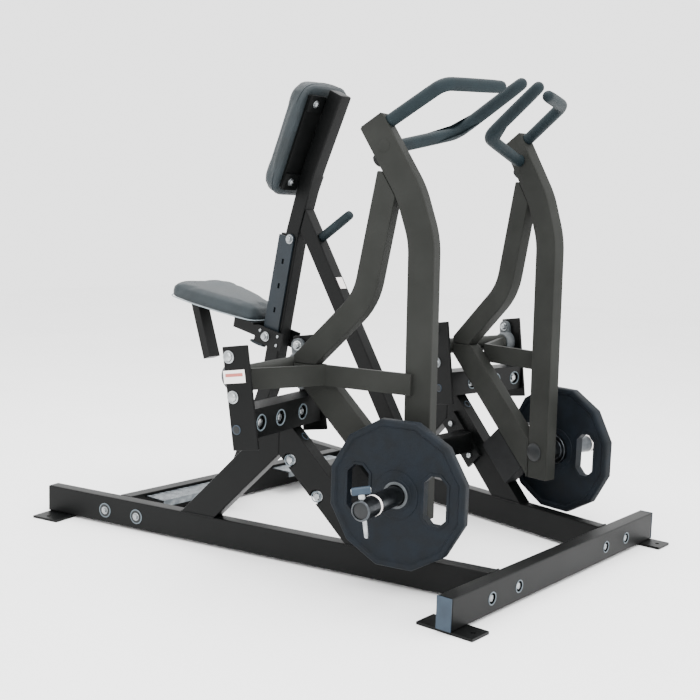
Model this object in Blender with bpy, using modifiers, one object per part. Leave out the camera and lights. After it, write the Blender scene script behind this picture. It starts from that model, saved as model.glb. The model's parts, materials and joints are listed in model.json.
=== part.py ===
"""Plate-loaded, chest-supported iso-lateral seated row machine.

Metres, +Z up, +X the way the user faces, mirrored about Y = 0. Most of each side is built in a
splayed side frame: u runs forward along the base rail, v outwards from it, z up.
"""

import math

import bmesh
import bpy
from mathutils import Matrix, Vector

# ---- clearances and stock -------------------------------------------------------------------
GAP = 0.0003  # between pieces that touch or are welded
MIDDLE_X = 0.6793  # from the front rail's face back to the middle of the footprint, the origin
TUBE_T = 0.040  # thickness of the frame's rectangular tube
TUBE_D = 0.076  # its depth
PLATE_T = 0.008  # bracket plate thickness

# ---- base ------------------------------------------------------------------------------------
SPLAY = math.radians(10.66)
FOOT_T = 0.006
RAIL_TOP = FOOT_T + TUBE_D
FRONT_HALF = 0.498
CAP_T = 0.004
RAIL_V = 0.258
RAIL_REAR_U = -1.484
CROSS_X = -1.160
FOOT_FRONT_L, FOOT_FRONT_W = 0.150, 0.066
FOOT_REAR_L, FOOT_REAR_W = 0.090, 0.110
FLOOR_HOLE_R = 0.006
FOOTPLATE_Y0, FOOTPLATE_Y1 = 0.120, 0.400
FOOTPLATE_X1 = -1.064
FOOTPLATE_TOP, FOOTPLATE_T = 0.074, 0.004

# ---- side frames (u, z) ----------------------------------------------------------------------
LEG_W = 0.080
APEX = (-0.683, 0.283)  # where the two legs' undersides meet
BEAM_U0, BEAM_U1 = -0.678, -0.616
BEAM_Z0, BEAM_Z1 = 0.366, 0.438
CROSS_TUBE_X, CROSS_TUBE_Z = -0.537, 0.230
CROSS_TUBE_W, CROSS_TUBE_H = 0.050, 0.060
FLANGE_T = 0.008
BRACKET_V_IN, BRACKET_V_OUT = 0.176, 0.492
BRACKET_TOP = (-0.672, 0.584)
BRACKET_BOTTOM = (-0.634, 0.338)
BRACKET_W = 0.072
PIVOT = (-0.680, 0.509)
BEARING_BOLT = 0.048
BEARING_T, BEARING_R, BEARING_H = 0.011, 0.029, 0.028
SHAFT_R, SHAFT_GAP = 0.0125, 0.0004
RECESS_R, RECESS_D = 0.014, 0.010

# ---- arms ------------------------------------------------------------------------------------
ARM_V = 0.242
ARM_T = TUBE_T
FRONT_TUBE_W = 0.070
FRONT_TUBE = ((-0.457, 1.124), (-0.350, 0.957), (-0.311, 0.845), (-0.300, 0.171))
FRONT_BEND = 0.22
REAR_TUBE_W = 0.061
REAR_TUBE = ((-0.405, 1.000), (-0.462, 0.694), (-0.646, 0.510))
DIAGONAL_W = 0.076
DIAGONAL_SUM = -0.112  # u + z along the diagonal's centre line
TIP_U = PIVOT[0] + 0.0235
HUB_R = 0.023
LINK_H, LINK_T = 0.052, 0.012
LINK_Z = 0.500
ARM_TRAVEL_GAP = 0.0008
GRIP_R = 0.0165
UPPER_GRIP = ((-0.3597, 0.3107, 1.1186), (-0.2354, 0.2787, 1.2086), (-0.1866, 0.1151, 1.2155))
INNER_GRIP = ((-0.3584, 0.2627, 1.0719), (-0.3363, 0.0719, 1.1117), (-0.1743, 0.0409, 1.2286))

# ---- weights ---------------------------------------------------------------------------------
HORN = (-0.3128, 0.2465)
HORN_R = 0.0245
HORN_V1 = 0.515
STOP_R = 0.042
DISC_R = 0.1835
DISC_BORE_R = 0.0255
DISC_V0, DISC_V1 = 0.316, 0.345
HAND_HOLE_U, HAND_HOLE_W, HAND_HOLE_H = 0.102, 0.058, 0.118
PIN_V, PIN_R, PIN_HOLE_R = 0.500, 0.0055, 0.0061
PIN_DOWN, PIN_UP, PIN_LEAN = 0.064, 0.0345, math.radians(10)
HANDLE_L, HANDLE_H, HANDLE_TURN = 0.044, 0.017, math.radians(30)

# ---- post, pad and seat ----------------------------------------------------------------------
POST_W = 0.050
POST_T = 0.045
POST = ((-1.165, RAIL_TOP + GAP), (-1.038, 0.375), (-0.945, 0.840), (-0.890, 1.015), (-0.790, 1.238))
BRACE = ((-0.9263, 0.9119), (-0.5230, 0.2603))
BRACE_W, BRACE_T = 0.050, 0.040
PEG_R, PEG_L, PEG_AT, PEG_LIFT = 0.0140, 0.130, 0.113, math.radians(2)
PAD_LEAN = math.radians(22.6)
PAD_MID = (-0.920, 1.112)
PAD_L, PAD_W, PAD_T = 0.345, 0.215, 0.056
BOARD_T = 0.008
RACK_D, RACK_T = 0.022, 0.030
GUIDE_A0, GUIDE_A1, GUIDE_T = -0.044, 0.016, 0.005
GUIDE_Z0, GUIDE_Z1 = 0.505, 0.832
SEAT_Z = 0.523
SEAT_PAD_TOP, SEAT_PAD_T = 0.076, 0.046
SEAT_OUTLINE = ((-0.397, 0.085), (-0.375, 0.122), (-0.300, 0.121), (-0.200, 0.100), (-0.120, 0.076),
                (-0.070, 0.052))
CARRIAGE_Y = 0.034
CARRIAGE_T = 0.006
CARRIAGE_A1, CARRIAGE_N = 0.048, 0.029
PEDESTAL_A0, PEDESTAL_A1 = -0.380, -0.060

RIGHT, LEFT, MIDDLE = -1, 1, 0
parts = None
cutters = None


def clear_scene():
    for obj in list(bpy.data.objects):
        bpy.data.objects.remove(obj, do_unlink=True)


def make_collections():
    global parts, cutters
    parts = bpy.data.collections.new("seated_row_machine")
    cutters = bpy.data.collections.new("cutters")
    for group in (parts, cutters):
        bpy.context.scene.collection.children.link(group)
    cutters.hide_render = True


MATERIALS = {}


def material(name, colour, metallic, roughness):
    if name not in MATERIALS:
        made = bpy.data.materials.new(name)
        made.use_nodes = True
        shader = made.node_tree.nodes["Principled BSDF"]
        shader.inputs["Base Color"].default_value = (*colour, 1)
        shader.inputs["Metallic"].default_value = metallic
        shader.inputs["Roughness"].default_value = roughness
        made.diffuse_color = (*colour, 1)
        MATERIALS[name] = made
    return MATERIALS[name]


def frame_paint():
    return material("frame_paint", (0.012, 0.012, 0.014), 0.0, 0.45)


def arm_paint():
    return material("arm_paint", (0.060, 0.062, 0.060), 0.0, 0.5)


def zinc():
    return material("zinc_plate", (0.62, 0.63, 0.64), 1.0, 0.35)


def rubber():
    return material("grip_rubber", (0.016, 0.024, 0.028), 0.0, 0.7)


def vinyl():
    return material("pad_vinyl", (0.030, 0.042, 0.048), 0.0, 0.55)


def urethane():
    return material("disc_urethane", (0.010, 0.018, 0.024), 0.0, 0.6)


def plastic():
    return material("end_plastic", (0.045, 0.058, 0.070), 0.0, 0.5)


def tread():
    return material("tread_plate", (0.16, 0.17, 0.18), 1.0, 0.45)


# ---- frames of reference ---------------------------------------------------------------------
def forward(side):
    return Vector((math.cos(SPLAY), -side * math.sin(SPLAY), 0)) if side else Vector((1, 0, 0))


def outward(side):
    return Vector((math.sin(SPLAY), side * math.cos(SPLAY), 0)) if side else Vector((0, 1, 0))


def at(side, u, v, z):
    return forward(side) * u + outward(side) * v + Vector((0, 0, z))


def u_at_x(side, x, v):
    """The u of the point at this v whose world X is x."""
    return (x - v * math.sin(SPLAY)) / math.cos(SPLAY)


# ---- builders --------------------------------------------------------------------------------
def add(name, mesh, look, origin=None, group=None):
    obj = bpy.data.objects.new(name, mesh)
    (group or parts).objects.link(obj)
    if look:
        mesh.materials.append(look)
    if origin is not None:
        mesh.transform(Matrix.Translation(-Vector(origin)))
        obj.location = origin
    return obj


def finish(bm, name):
    bmesh.ops.remove_doubles(bm, verts=bm.verts, dist=1e-6)
    bmesh.ops.recalc_face_normals(bm, faces=bm.faces)
    mesh = bpy.data.meshes.new(name)
    bm.to_mesh(mesh)
    bm.free()
    return mesh


def loft(name, rings, look, origin=None, group=None):
    """A closed solid through rings of equally many points."""
    bm = bmesh.new()
    rows = [[bm.verts.new(p) for p in ring] for ring in rings]
    for first, second in zip(rows, rows[1:]):
        for i in range(len(first)):
            j = (i + 1) % len(first)
            bm.faces.new((first[i], first[j], second[j], second[i]))
    bm.faces.new(rows[0])
    bm.faces.new(list(reversed(rows[-1])))
    return add(name, finish(bm, name), look, origin, group)


def prism(name, side, outline, v0, v1, look, origin=None, group=None):
    """An outline in (u, z), extruded from v0 to v1."""
    rings = [[at(side, u, v, z) for u, z in outline] for v in (v0, v1)]
    return loft(name, rings, look, origin, group)


def slab(name, outline, z0, z1, look, group=None):
    """An outline in world (x, y), extruded up."""
    return loft(name, [[Vector((x, y, z)) for x, y in outline] for z in (z0, z1)], look, None, group)


def box(name, x, y, z, look, origin=None, group=None):
    return slab_box(name, x, y, z, look, origin, group)


def slab_box(name, x, y, z, look, origin, group):
    corners = [(x[0], y[0]), (x[1], y[0]), (x[1], y[1]), (x[0], y[1])]
    rings = [[Vector((a, b, c)) for a, b in corners] for c in z]
    return loft(name, rings, look, origin, group)


def circle(centre, axis, radius, count, turn=0.0):
    axis = Vector(axis).normalized()
    first = axis.orthogonal().normalized()
    if abs(axis.z) < 0.9:
        first = axis.cross(Vector((0, 0, 1))).normalized()
    second = axis.cross(first)
    return [
        Vector(centre) + radius * (math.cos(a) * first + math.sin(a) * second)
        for a in (turn + 2 * math.pi * i / count for i in range(count))
    ]


def turned(name, start, axis, profile, look, count=32, origin=None, group=None):
    """A solid of revolution: profile is (distance along the axis, radius) from end to end."""
    axis = Vector(axis).normalized()
    rings = [circle(Vector(start) + axis * d, axis, r, count) for d, r in profile]
    return loft(name, rings, look, origin, group)


def rod(name, start, end, radius, look, count=32, origin=None, group=None):
    start, end = Vector(start), Vector(end)
    span = (end - start).length
    return turned(name, start, end - start, ((0, radius), (span, radius)), look, count, origin, group)


def boolean(obj, tool, operation="DIFFERENCE"):
    step = obj.modifiers.new(tool.name, "BOOLEAN")
    step.solver = "EXACT"
    step.operation = operation
    step.object = tool
    tool.hide_render = True
    tool.display_type = "WIRE"


def cut(obj, tool):
    boolean(obj, tool)


def join(obj, tool):
    boolean(obj, tool, "UNION")


def bevel(obj, width, segments=2, angle=40):
    step = obj.modifiers.new("edge", "BEVEL")
    step.width = width
    step.segments = segments
    step.limit_method = "ANGLE"
    step.angle_limit = math.radians(angle)
    step.use_clamp_overlap = True


def rounded(path, radius, steps=4):
    """The path with each inner corner replaced by an arc."""
    path = [Vector(p) for p in path]
    out = [path[0]]
    for before, corner, after in zip(path, path[1:], path[2:]):
        a, b = (before - corner).normalized(), (after - corner).normalized()
        half = a.angle(b) / 2
        reach = min(radius / math.tan(half), 0.45 * (before - corner).length, 0.45 * (after - corner).length)
        for i in range(steps + 1):
            t = i / steps
            out.append((1 - t) ** 2 * (corner + a * reach) + 2 * t * (1 - t) * corner + t * t * (corner + b * reach))
    out.append(path[-1])
    return out


def strip(path, width):
    """Both edges of a band of this width along a path in (u, z), mitred at each corner."""
    path = [Vector(p) for p in path]
    near, far = [], []
    for i, point in enumerate(path):
        before = (point - path[i - 1]).normalized() if i else None
        after = (path[i + 1] - point).normalized() if i + 1 < len(path) else None
        along = ((before or after) + (after or before)).normalized()
        normal = Vector((-along.y, along.x))
        run = before or after
        reach = width / 2 / normal.dot(Vector((-run.y, run.x)))
        near.append(point + normal * reach)
        far.append(point - normal * reach)
    return near, far


def band(path, width):
    near, far = strip(path, width)
    return near + list(reversed(far))


def sweep(path, radius, count=20):
    """Rings of a round bar along a world path."""
    path = [Vector(p) for p in path]
    rings = []
    normal = None
    for i, point in enumerate(path):
        before = (point - path[i - 1]).normalized() if i else (path[1] - point).normalized()
        after = (path[i + 1] - point).normalized() if i + 1 < len(path) else before
        along = (before + after).normalized()
        if normal is None:
            normal = along.orthogonal().normalized()
        normal = (normal - along * normal.dot(along)).normalized()
        side = along.cross(normal)
        stretch = 1 / max(0.5, along.dot(before))
        ring = [normal * math.cos(a) + side * math.sin(a) for a in (2 * math.pi * k / count for k in range(count))]
        rings.append([point + d * radius * (1 + (stretch - 1) * 0.5) for d in ring])
    return rings


def grip_bar(name, path, radius, look, origin, bend=0.045, count=20):
    """A rubber-covered round bar with a rounded end."""
    path = rounded(path, bend, 5)
    rings = sweep(path, radius, count)
    end, along = path[-1], (path[-1] - path[-2]).normalized()
    for t in (0.5, 0.86, 0.98):
        ring = rings[len(path) - 1]
        centre = end + along * radius * t
        rings.append([centre + (p - end) * math.sqrt(1 - t * t) for p in ring])
    return loft(name, rings, look, origin)


# ---- base ------------------------------------------------------------------------------------
def front_rail():
    """The front cross rail with its two floor plates welded under it, and its end caps."""
    rail = box("front_rail", (-TUBE_T, 0), (-FRONT_HALF, FRONT_HALF), (FOOT_T, RAIL_TOP), frame_paint())
    bevel(rail, 0.004)
    for side in (RIGHT, LEFT):
        for y in (0.220, 0.337):
            start = Vector((-RECESS_D, side * y, 0.042))
            cut(rail, rod(f"rail_recess_{side}_{y}", start, start + Vector((0.03, 0, 0)), RECESS_R, None, 20, None, cutters))
        tag = "right" if side < 0 else "left"
        y0, y1 = side * (FRONT_HALF + GAP), side * (FRONT_HALF + GAP + CAP_T)
        cap = box(f"{tag}_end_cap", (-TUBE_T, 0), sorted((y0, y1)), (FOOT_T + GAP, RAIL_TOP), plastic())
        bevel(cap, 0.0015)
        front_foot(rail, side, tag)


def front_foot(rail, side, tag):
    y0, y1 = side * (FRONT_HALF - FOOT_FRONT_W), side * FRONT_HALF
    x0 = -TUBE_T / 2 - FOOT_FRONT_L / 2
    foot = box(f"{tag}_front_foot", (x0, x0 + FOOT_FRONT_L), sorted((y0, y1)), (0, FOOT_T + 0.0005), None, None, cutters)
    join(rail, foot)
    hole = Vector((x0 + FOOT_FRONT_L - 0.020, (y0 + y1) / 2, -0.01))
    cut(rail, rod(f"foot_hole_{tag}", hole, hole + Vector((0, 0, 0.03)), FLOOR_HOLE_R, None, 16, None, cutters))


def base_rail(side, tag):
    inner, outer = RAIL_V - TUBE_T / 2, RAIL_V + TUBE_T / 2
    ends = [at(side, u_at_x(side, -TUBE_T - GAP, v), v, 0) for v in (outer, inner)]
    rear = [at(side, RAIL_REAR_U, v, 0) for v in (inner, outer)]
    outline = [(p.x, p.y) for p in ends + rear]
    rail = slab(f"{tag}_base_rail", outline, FOOT_T + GAP, RAIL_TOP, frame_paint())
    bevel(rail, 0.004)
    plan = [at(side, u, v, 0) for u, v in (
        (RAIL_REAR_U + 0.005, inner - 0.004), (RAIL_REAR_U + 0.005 + FOOT_REAR_L, inner - 0.004),
        (RAIL_REAR_U + 0.005 + FOOT_REAR_L, inner - 0.004 + FOOT_REAR_W),
        (RAIL_REAR_U + 0.005, inner - 0.004 + FOOT_REAR_W))]
    foot = slab(f"{tag}_rear_foot", [(p.x, p.y) for p in plan], 0, FOOT_T, frame_paint())
    hole = at(side, RAIL_REAR_U + FOOT_REAR_L / 2, outer + 0.045, -0.01)
    cut(foot, rod(f"rear_hole_{tag}", hole, hole + Vector((0, 0, 0.03)), FLOOR_HOLE_R, None, 16, None, cutters))


def rail_inner_y(side, x, clearance):
    v = RAIL_V - TUBE_T / 2 - clearance
    return at(side, u_at_x(side, x, v), v, 0).y


def rear_cross():
    x0, x1 = CROSS_X - TUBE_T / 2, CROSS_X + TUBE_T / 2
    outline = [(x0, rail_inner_y(RIGHT, x0, GAP)), (x1, rail_inner_y(RIGHT, x1, GAP)),
               (x1, rail_inner_y(LEFT, x1, GAP)), (x0, rail_inner_y(LEFT, x0, GAP))]
    tube = slab("rear_cross_tube", outline, FOOT_T + GAP, RAIL_TOP, frame_paint())
    bevel(tube, 0.003)


def footplate(side, tag):
    """A tread plate on the front face of the rear cross tube, with a folded front lip."""
    x0 = CROSS_X + TUBE_T / 2 + GAP
    y = sorted((side * FOOTPLATE_Y0, side * FOOTPLATE_Y1))
    top = FOOTPLATE_TOP
    plate = box(f"{tag}_footplate", (x0, FOOTPLATE_X1), y, (top - FOOTPLATE_T, top), tread())
    lip = box(f"lip_{tag}", (FOOTPLATE_X1 - FOOTPLATE_T, FOOTPLATE_X1 + 0.0004), y, (top - 0.018, top - 0.001), None, None, cutters)
    join(plate, lip)


# ---- side frames -----------------------------------------------------------------------------
def leg_outline(direction):
    """A 45 degree leg from the rail's top to the pivot beam's underside."""
    z0, z1 = RAIL_TOP + GAP, BEAM_Z0 - GAP
    rise = LEG_W * math.sqrt(2)
    u, z = APEX
    foot_in, foot_out = u + direction * (z - z0), u + direction * (z - z0 + rise)
    top_out = u + direction * (z + rise - z1)
    middle = u + direction * GAP
    return [(foot_in + direction * GAP, z0), (foot_out, z0), (top_out, z1), (middle, z1), (middle, z - GAP)]


def leg(side, tag, word, direction):
    v0, v1 = RAIL_V - TUBE_T / 2, RAIL_V + TUBE_T / 2
    made = prism(f"{tag}_{word}_leg", side, leg_outline(direction), v0, v1, frame_paint())
    if direction > 0:
        for u, z in LEG_BOLTS:
            start = at(side, u, v1 - RECESS_D, z)
            cut(made, rod(f"leg_recess_{tag}_{u}", start, start + outward(side) * 0.05, 0.019, None, 24, None, cutters))
    bevel(made, 0.004)


LEG_BOLTS = ((-0.651, 0.272), (-0.568, 0.189))


def front_cross():
    v = RAIL_V - TUBE_T / 2 - GAP - FLANGE_T - GAP
    x0, x1 = CROSS_TUBE_X - CROSS_TUBE_W / 2, CROSS_TUBE_X + CROSS_TUBE_W / 2
    edge = [(x, at(s, u_at_x(s, x, v), v, 0).y) for s, x in ((RIGHT, x0), (RIGHT, x1), (LEFT, x1), (LEFT, x0))]
    tube = slab("front_cross_tube", edge, CROSS_TUBE_Z - CROSS_TUBE_H / 2, CROSS_TUBE_Z + CROSS_TUBE_H / 2, frame_paint())
    bevel(tube, 0.003)
    for side in (RIGHT, LEFT):
        middle = ((LEG_BOLTS[0][0] + LEG_BOLTS[1][0]) / 2, (LEG_BOLTS[0][1] + LEG_BOLTS[1][1]) / 2)
        along = Vector((1, -1)).normalized() * 0.082
        path = [Vector(middle) - along, Vector(middle) + along]
        flange = prism(f"flange_{side}", side, band(path, 0.064), v - 0.002, v + GAP + FLANGE_T, None, None, cutters)
        join(tube, flange)


def pivot_beam(side, tag):
    v0, v1 = BRACKET_V_IN + PLATE_T + GAP, BRACKET_V_OUT - GAP
    outline = [(BEAM_U0, BEAM_Z0), (BEAM_U1, BEAM_Z0), (BEAM_U1, BEAM_Z1), (BEAM_U0, BEAM_Z1)]
    beam = prism(f"{tag}_pivot_beam", side, outline, v0, v1, frame_paint())
    for v in (0.275, 0.377, 0.462):
        start = at(side, BEAM_U1 - RECESS_D, v, (BEAM_Z0 + BEAM_Z1) / 2)
        cut(beam, rod(f"beam_recess_{tag}_{v}", start, start + forward(side) * 0.05, 0.018, None, 24, None, cutters))
    bevel(beam, 0.004)


def bracket_axis():
    top, bottom = Vector(BRACKET_TOP), Vector(BRACKET_BOTTOM)
    return top, bottom, (top - bottom).normalized()


def bearing_bolts():
    _, _, up = bracket_axis()
    return [Vector(PIVOT) + up * reach for reach in (-BEARING_BOLT, BEARING_BOLT)]


def bracket(side, tag, word, v0):
    top, bottom, _ = bracket_axis()
    plate = prism(f"{tag}_{word}_bracket", side, band([bottom, top], BRACKET_W), v0, v0 + PLATE_T, frame_paint())
    bevel(plate, 0.0015, 1)


def bearing(side, tag, word):
    """A two-bolt flange bearing on the face of its bracket that looks at the arm."""
    facing = 1 if word == "inner" else -1
    v0 = BRACKET_V_IN + PLATE_T + GAP if word == "inner" else BRACKET_V_OUT - GAP
    bolts = bearing_bolts()
    outline = []
    for end, turn in ((bolts[1], 0), (bolts[0], math.pi)):
        up = (bolts[1] - bolts[0]).normalized()
        across = Vector((up.y, -up.x))
        for i in range(7):
            a = turn + math.pi * i / 6
            outline.append(end + 0.019 * (across * math.cos(a) + up * math.sin(a)))
    look = material("bearing_iron", (0.10, 0.11, 0.12), 0.6, 0.5)
    body = prism(f"{tag}_{word}_bearing", side, [(p.x, p.y) for p in outline], v0, v0 + facing * BEARING_T, look)
    centre = at(side, PIVOT[0], v0, PIVOT[1])
    boss = turned(f"boss_{tag}_{word}", centre + outward(side) * facing * 0.001, outward(side) * facing,
                  ((0, BEARING_R + 0.005), (BEARING_T, BEARING_R + 0.005), (BEARING_H - 0.004, BEARING_R),
                   (BEARING_H - 0.001, BEARING_R - 0.003)), None, 28, None, cutters)
    join(body, boss)
    way = outward(side) * facing
    bore = rod(f"bore_{tag}_{word}", centre - way * 0.02, centre + way * 0.06, SHAFT_R + SHAFT_GAP, None, 24,
               None, cutters)
    cut(body, bore)


def bumper(side, tag):
    """The rubber stop on the forward leg that the resting arm's diagonal tube lies on."""
    leg_edge = APEX[0] + APEX[1] + LEG_W * math.sqrt(2)
    arm_edge = DIAGONAL_SUM - DIAGONAL_W / 2 * math.sqrt(2)
    tall = (arm_edge - leg_edge) / math.sqrt(2) - GAP - ARM_TRAVEL_GAP
    along, normal = Vector((1, -1)).normalized(), Vector((1, 1)).normalized()
    base = Vector((leg_edge / 2 - 0.325, leg_edge / 2 + 0.325)) + normal * GAP
    ends = (base - along * 0.070, base + along * 0.070)
    outline = [ends[0], ends[1], ends[1] + normal * tall, ends[0] + normal * tall]
    block = prism(f"{tag}_bumper", side, [(p.x, p.y) for p in outline], ARM_V - 0.018, ARM_V + 0.030, rubber())
    bevel(block, 0.004)


# ---- arms ------------------------------------------------------------------------------------
def arm_origin(side):
    return at(side, PIVOT[0], ARM_V, PIVOT[1])


def front_tube(side, tag):
    path = rounded(FRONT_TUBE, FRONT_BEND, 5)
    made = prism(f"{tag}_arm_front_tube", side, band(path, FRONT_TUBE_W), ARM_V - ARM_T / 2, ARM_V + ARM_T / 2,
                 arm_paint(), arm_origin(side))
    bevel(made, 0.004, 2, 50)
    return path


def clip(outline, point, normal):
    """The part of an outline on the side of a line that the normal points to."""
    kept = []
    for i, b in enumerate(outline):
        a = outline[i - 1]
        da, db = (Vector(a) - point).dot(normal), (Vector(b) - point).dot(normal)
        if da * db < 0:
            kept.append(Vector(a).lerp(Vector(b), da / (da - db)))
        if db >= 0:
            kept.append(Vector(b))
    return kept


def rear_tube(side, tag):
    """From the front tube's rear edge down to the mitre at the pivot."""
    outline = band(rounded(REAR_TUBE, 0.16, 6), REAR_TUBE_W)
    bent = rounded(FRONT_TUBE, FRONT_BEND, 5)
    for start, end in zip(bent, bent[1:]):
        run = (end - start).normalized()
        back = Vector((run.y, -run.x))
        outline = clip(outline, end + back * (FRONT_TUBE_W / 2 + GAP), back)
    outline = clip(outline, Vector((TIP_U, 0)), Vector((1, 0)))
    outline = clip(outline, Vector((PIVOT[0], mitre_z() + GAP / 2)), Vector((0, 1)))
    made = prism(f"{tag}_arm_rear_tube", side, [(p.x, p.y) for p in outline], ARM_V - ARM_T / 2,
                 ARM_V + ARM_T / 2, arm_paint(), arm_origin(side))
    bevel(made, 0.004, 2, 50)


def mitre_z():
    rise = Vector(REAR_TUBE[2]).y - Vector(REAR_TUBE[2]).x
    return (rise + DIAGONAL_SUM) / 2


def diagonal(side, tag):
    """From the mitre at the pivot down to the front tube's lower end."""
    half = DIAGONAL_W / 2 * math.sqrt(2)
    u0, u1 = TIP_U - 0.1, FRONT_TUBE[3][0]
    outline = [(u0, DIAGONAL_SUM - half - u0), (u1, DIAGONAL_SUM - half - u1),
               (u1, DIAGONAL_SUM + half - u1), (u0, DIAGONAL_SUM + half - u0)]
    bend, foot = Vector(FRONT_TUBE[2]), Vector(FRONT_TUBE[3])
    run = (foot - bend).normalized()
    outline = clip(outline, foot + Vector((run.y, -run.x)) * (FRONT_TUBE_W / 2 + GAP), Vector((run.y, -run.x)))
    outline = clip(outline, Vector((TIP_U, 0)), Vector((1, 0)))
    outline = clip(outline, Vector((PIVOT[0], mitre_z() - GAP / 2)), Vector((0, -1)))
    made = prism(f"{tag}_arm_diagonal", side, [(p.x, p.y) for p in outline], ARM_V - ARM_T / 2,
                 ARM_V + ARM_T / 2, arm_paint(), arm_origin(side))
    bevel(made, 0.004, 2, 50)


def outrigger(side, tag):
    """The pivot tube with its shaft ends, and the link bar from its outer end to the front tube."""
    hub0 = BRACKET_V_IN + PLATE_T + GAP + BEARING_H + 0.001
    hub1 = BRACKET_V_OUT - GAP - BEARING_H - 0.001
    shaft0, shaft1 = BRACKET_V_IN + PLATE_T + 0.002, BRACKET_V_OUT - 0.002
    start = at(side, PIVOT[0], shaft0, PIVOT[1])
    step, end = hub0 - shaft0, shaft1 - shaft0
    profile = ((0, SHAFT_R), (step, SHAFT_R), (step, HUB_R), (hub1 - hub0 + step, HUB_R),
               (hub1 - hub0 + step, SHAFT_R), (end, SHAFT_R))
    shaft = turned(f"{tag}_arm_outrigger", start, outward(side), profile, arm_paint(), 32, arm_origin(side))
    outer = ARM_V + ARM_T / 2 + GAP
    plan = [(PIVOT[0] - 0.030, hub1 - 0.016), (PIVOT[0] + 0.020, hub1 - 0.020), (-0.560, outer + LINK_T / 2),
            (FRONT_TUBE[3][0] - 0.018, outer + LINK_T / 2)]
    near, far = strip(plan, LINK_T)
    ring = [(p.x, p.y) for p in near + list(reversed(far))]
    rings = [[at(side, u, v, z) for u, v in ring] for z in (LINK_Z - LINK_H / 2, LINK_Z + LINK_H / 2)]
    bar = loft(f"link_{tag}", rings, None, None, cutters)
    join(shaft, bar)


def upper_grip(side, tag):
    """From the head's front face, forwards and then in across the user's reach."""
    path = [Vector((x, side * y, z)) for x, y, z in UPPER_GRIP]
    head, knee = Vector(FRONT_TUBE[0]), Vector(FRONT_TUBE[1])
    along = (knee - head).normalized()
    face = Vector((-along.y, along.x))
    if face.x < 0:
        face = -face
    base = head + along * 0.024 + face * (FRONT_TUBE_W / 2 + GAP)
    path[0] = at(side, base.x, ARM_V, base.y)
    path.insert(1, path[0] + (forward(side) * face.x + Vector((0, 0, face.y))) * 0.012)
    grip_bar(f"{tag}_upper_grip", path, GRIP_R, rubber(), arm_origin(side))


def inner_grip(side, tag):
    """From the head's inner face towards the middle, then forwards."""
    path = [Vector((x, side * y, z)) for x, y, z in INNER_GRIP]
    head, knee = Vector(FRONT_TUBE[0]), Vector(FRONT_TUBE[1])
    point = head.lerp(knee, 0.36)
    path[0] = at(side, point.x, ARM_V - ARM_T / 2 - GAP, point.y)
    path.insert(1, path[0] - outward(side) * 0.012)
    grip_bar(f"{tag}_inner_grip", path, GRIP_R, rubber(), arm_origin(side))


# ---- weights ---------------------------------------------------------------------------------
def horn(side, tag):
    """The weight sleeve, with the shoulder that the disc rests against."""
    v0 = ARM_V + ARM_T / 2 + GAP
    start = at(side, HORN[0], v0, HORN[1])
    stop = DISC_V0 - GAP - v0
    length = HORN_V1 - v0
    profile = ((0, 0.030), (stop - 0.012, 0.030), (stop - 0.012, STOP_R), (stop, STOP_R), (stop, HORN_R),
               (length - 0.003, HORN_R), (length, HORN_R - 0.003))
    sleeve = turned(f"{tag}_horn", start, outward(side), profile, zinc(), 32, arm_origin(side))
    middle, up, _ = pin_frame(side)
    cut(sleeve, rod(f"pin_hole_{tag}", middle - up * 0.04, middle + up * 0.04, PIN_HOLE_R, None, 20, None, cutters))


def octagon(u, z, width, height):
    w, h = width / 2, height / 2
    c = w * 0.62
    return [(u - w, z - h + c), (u - w + c, z - h), (u + w - c, z - h), (u + w, z - h + c),
            (u + w, z + h - c), (u + w - c, z + h), (u - w + c, z + h), (u - w, z + h - c)]


def disc(side, tag):
    """A twelve-sided disc with two hand holes."""
    origin = at(side, HORN[0], DISC_V0, HORN[1])
    outline = []
    for i in range(12):
        a = math.radians(15 + 30 * i)
        outline.append((HORN[0] + DISC_R * math.cos(a), HORN[1] + DISC_R * math.sin(a)))
    def ring(v, inset):
        share = 1 - inset / DISC_R
        return [at(side, HORN[0] + (u - HORN[0]) * share, v, HORN[1] + (z - HORN[1]) * share) for u, z in outline]
    rings = [ring(DISC_V0, 0.009), ring(DISC_V0 + 0.007, 0), ring(DISC_V1 - 0.007, 0), ring(DISC_V1, 0.009)]
    body = loft(f"{tag}_weight_disc", rings, urethane(), origin)
    hub = rod(f"disc_bore_{tag}", at(side, HORN[0], DISC_V0 - 0.02, HORN[1]), at(side, HORN[0], DISC_V1 + 0.02, HORN[1]),
              DISC_BORE_R, None, 32, None, cutters)
    cut(body, hub)
    for offset in (-HAND_HOLE_U, HAND_HOLE_U):
        shape = octagon(HORN[0] + offset, HORN[1], HAND_HOLE_W, HAND_HOLE_H)
        cut(body, prism(f"hand_hole_{tag}_{offset}", side, shape, DISC_V0 - 0.02, DISC_V1 + 0.02, None, None, cutters))


def pin_frame(side):
    """The lock pin's centre on the horn, its axis, and the way its handle points."""
    middle = at(side, HORN[0], PIN_V, HORN[1])
    up = Vector((0, 0, 1)) * math.cos(PIN_LEAN) - forward(side) * math.sin(PIN_LEAN)
    across = up.cross(outward(side)).normalized()
    if across.dot(forward(side)) < 0:
        across = -across
    return middle, up, (across * math.cos(HANDLE_TURN) - outward(side) * math.sin(HANDLE_TURN)).normalized()


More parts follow.
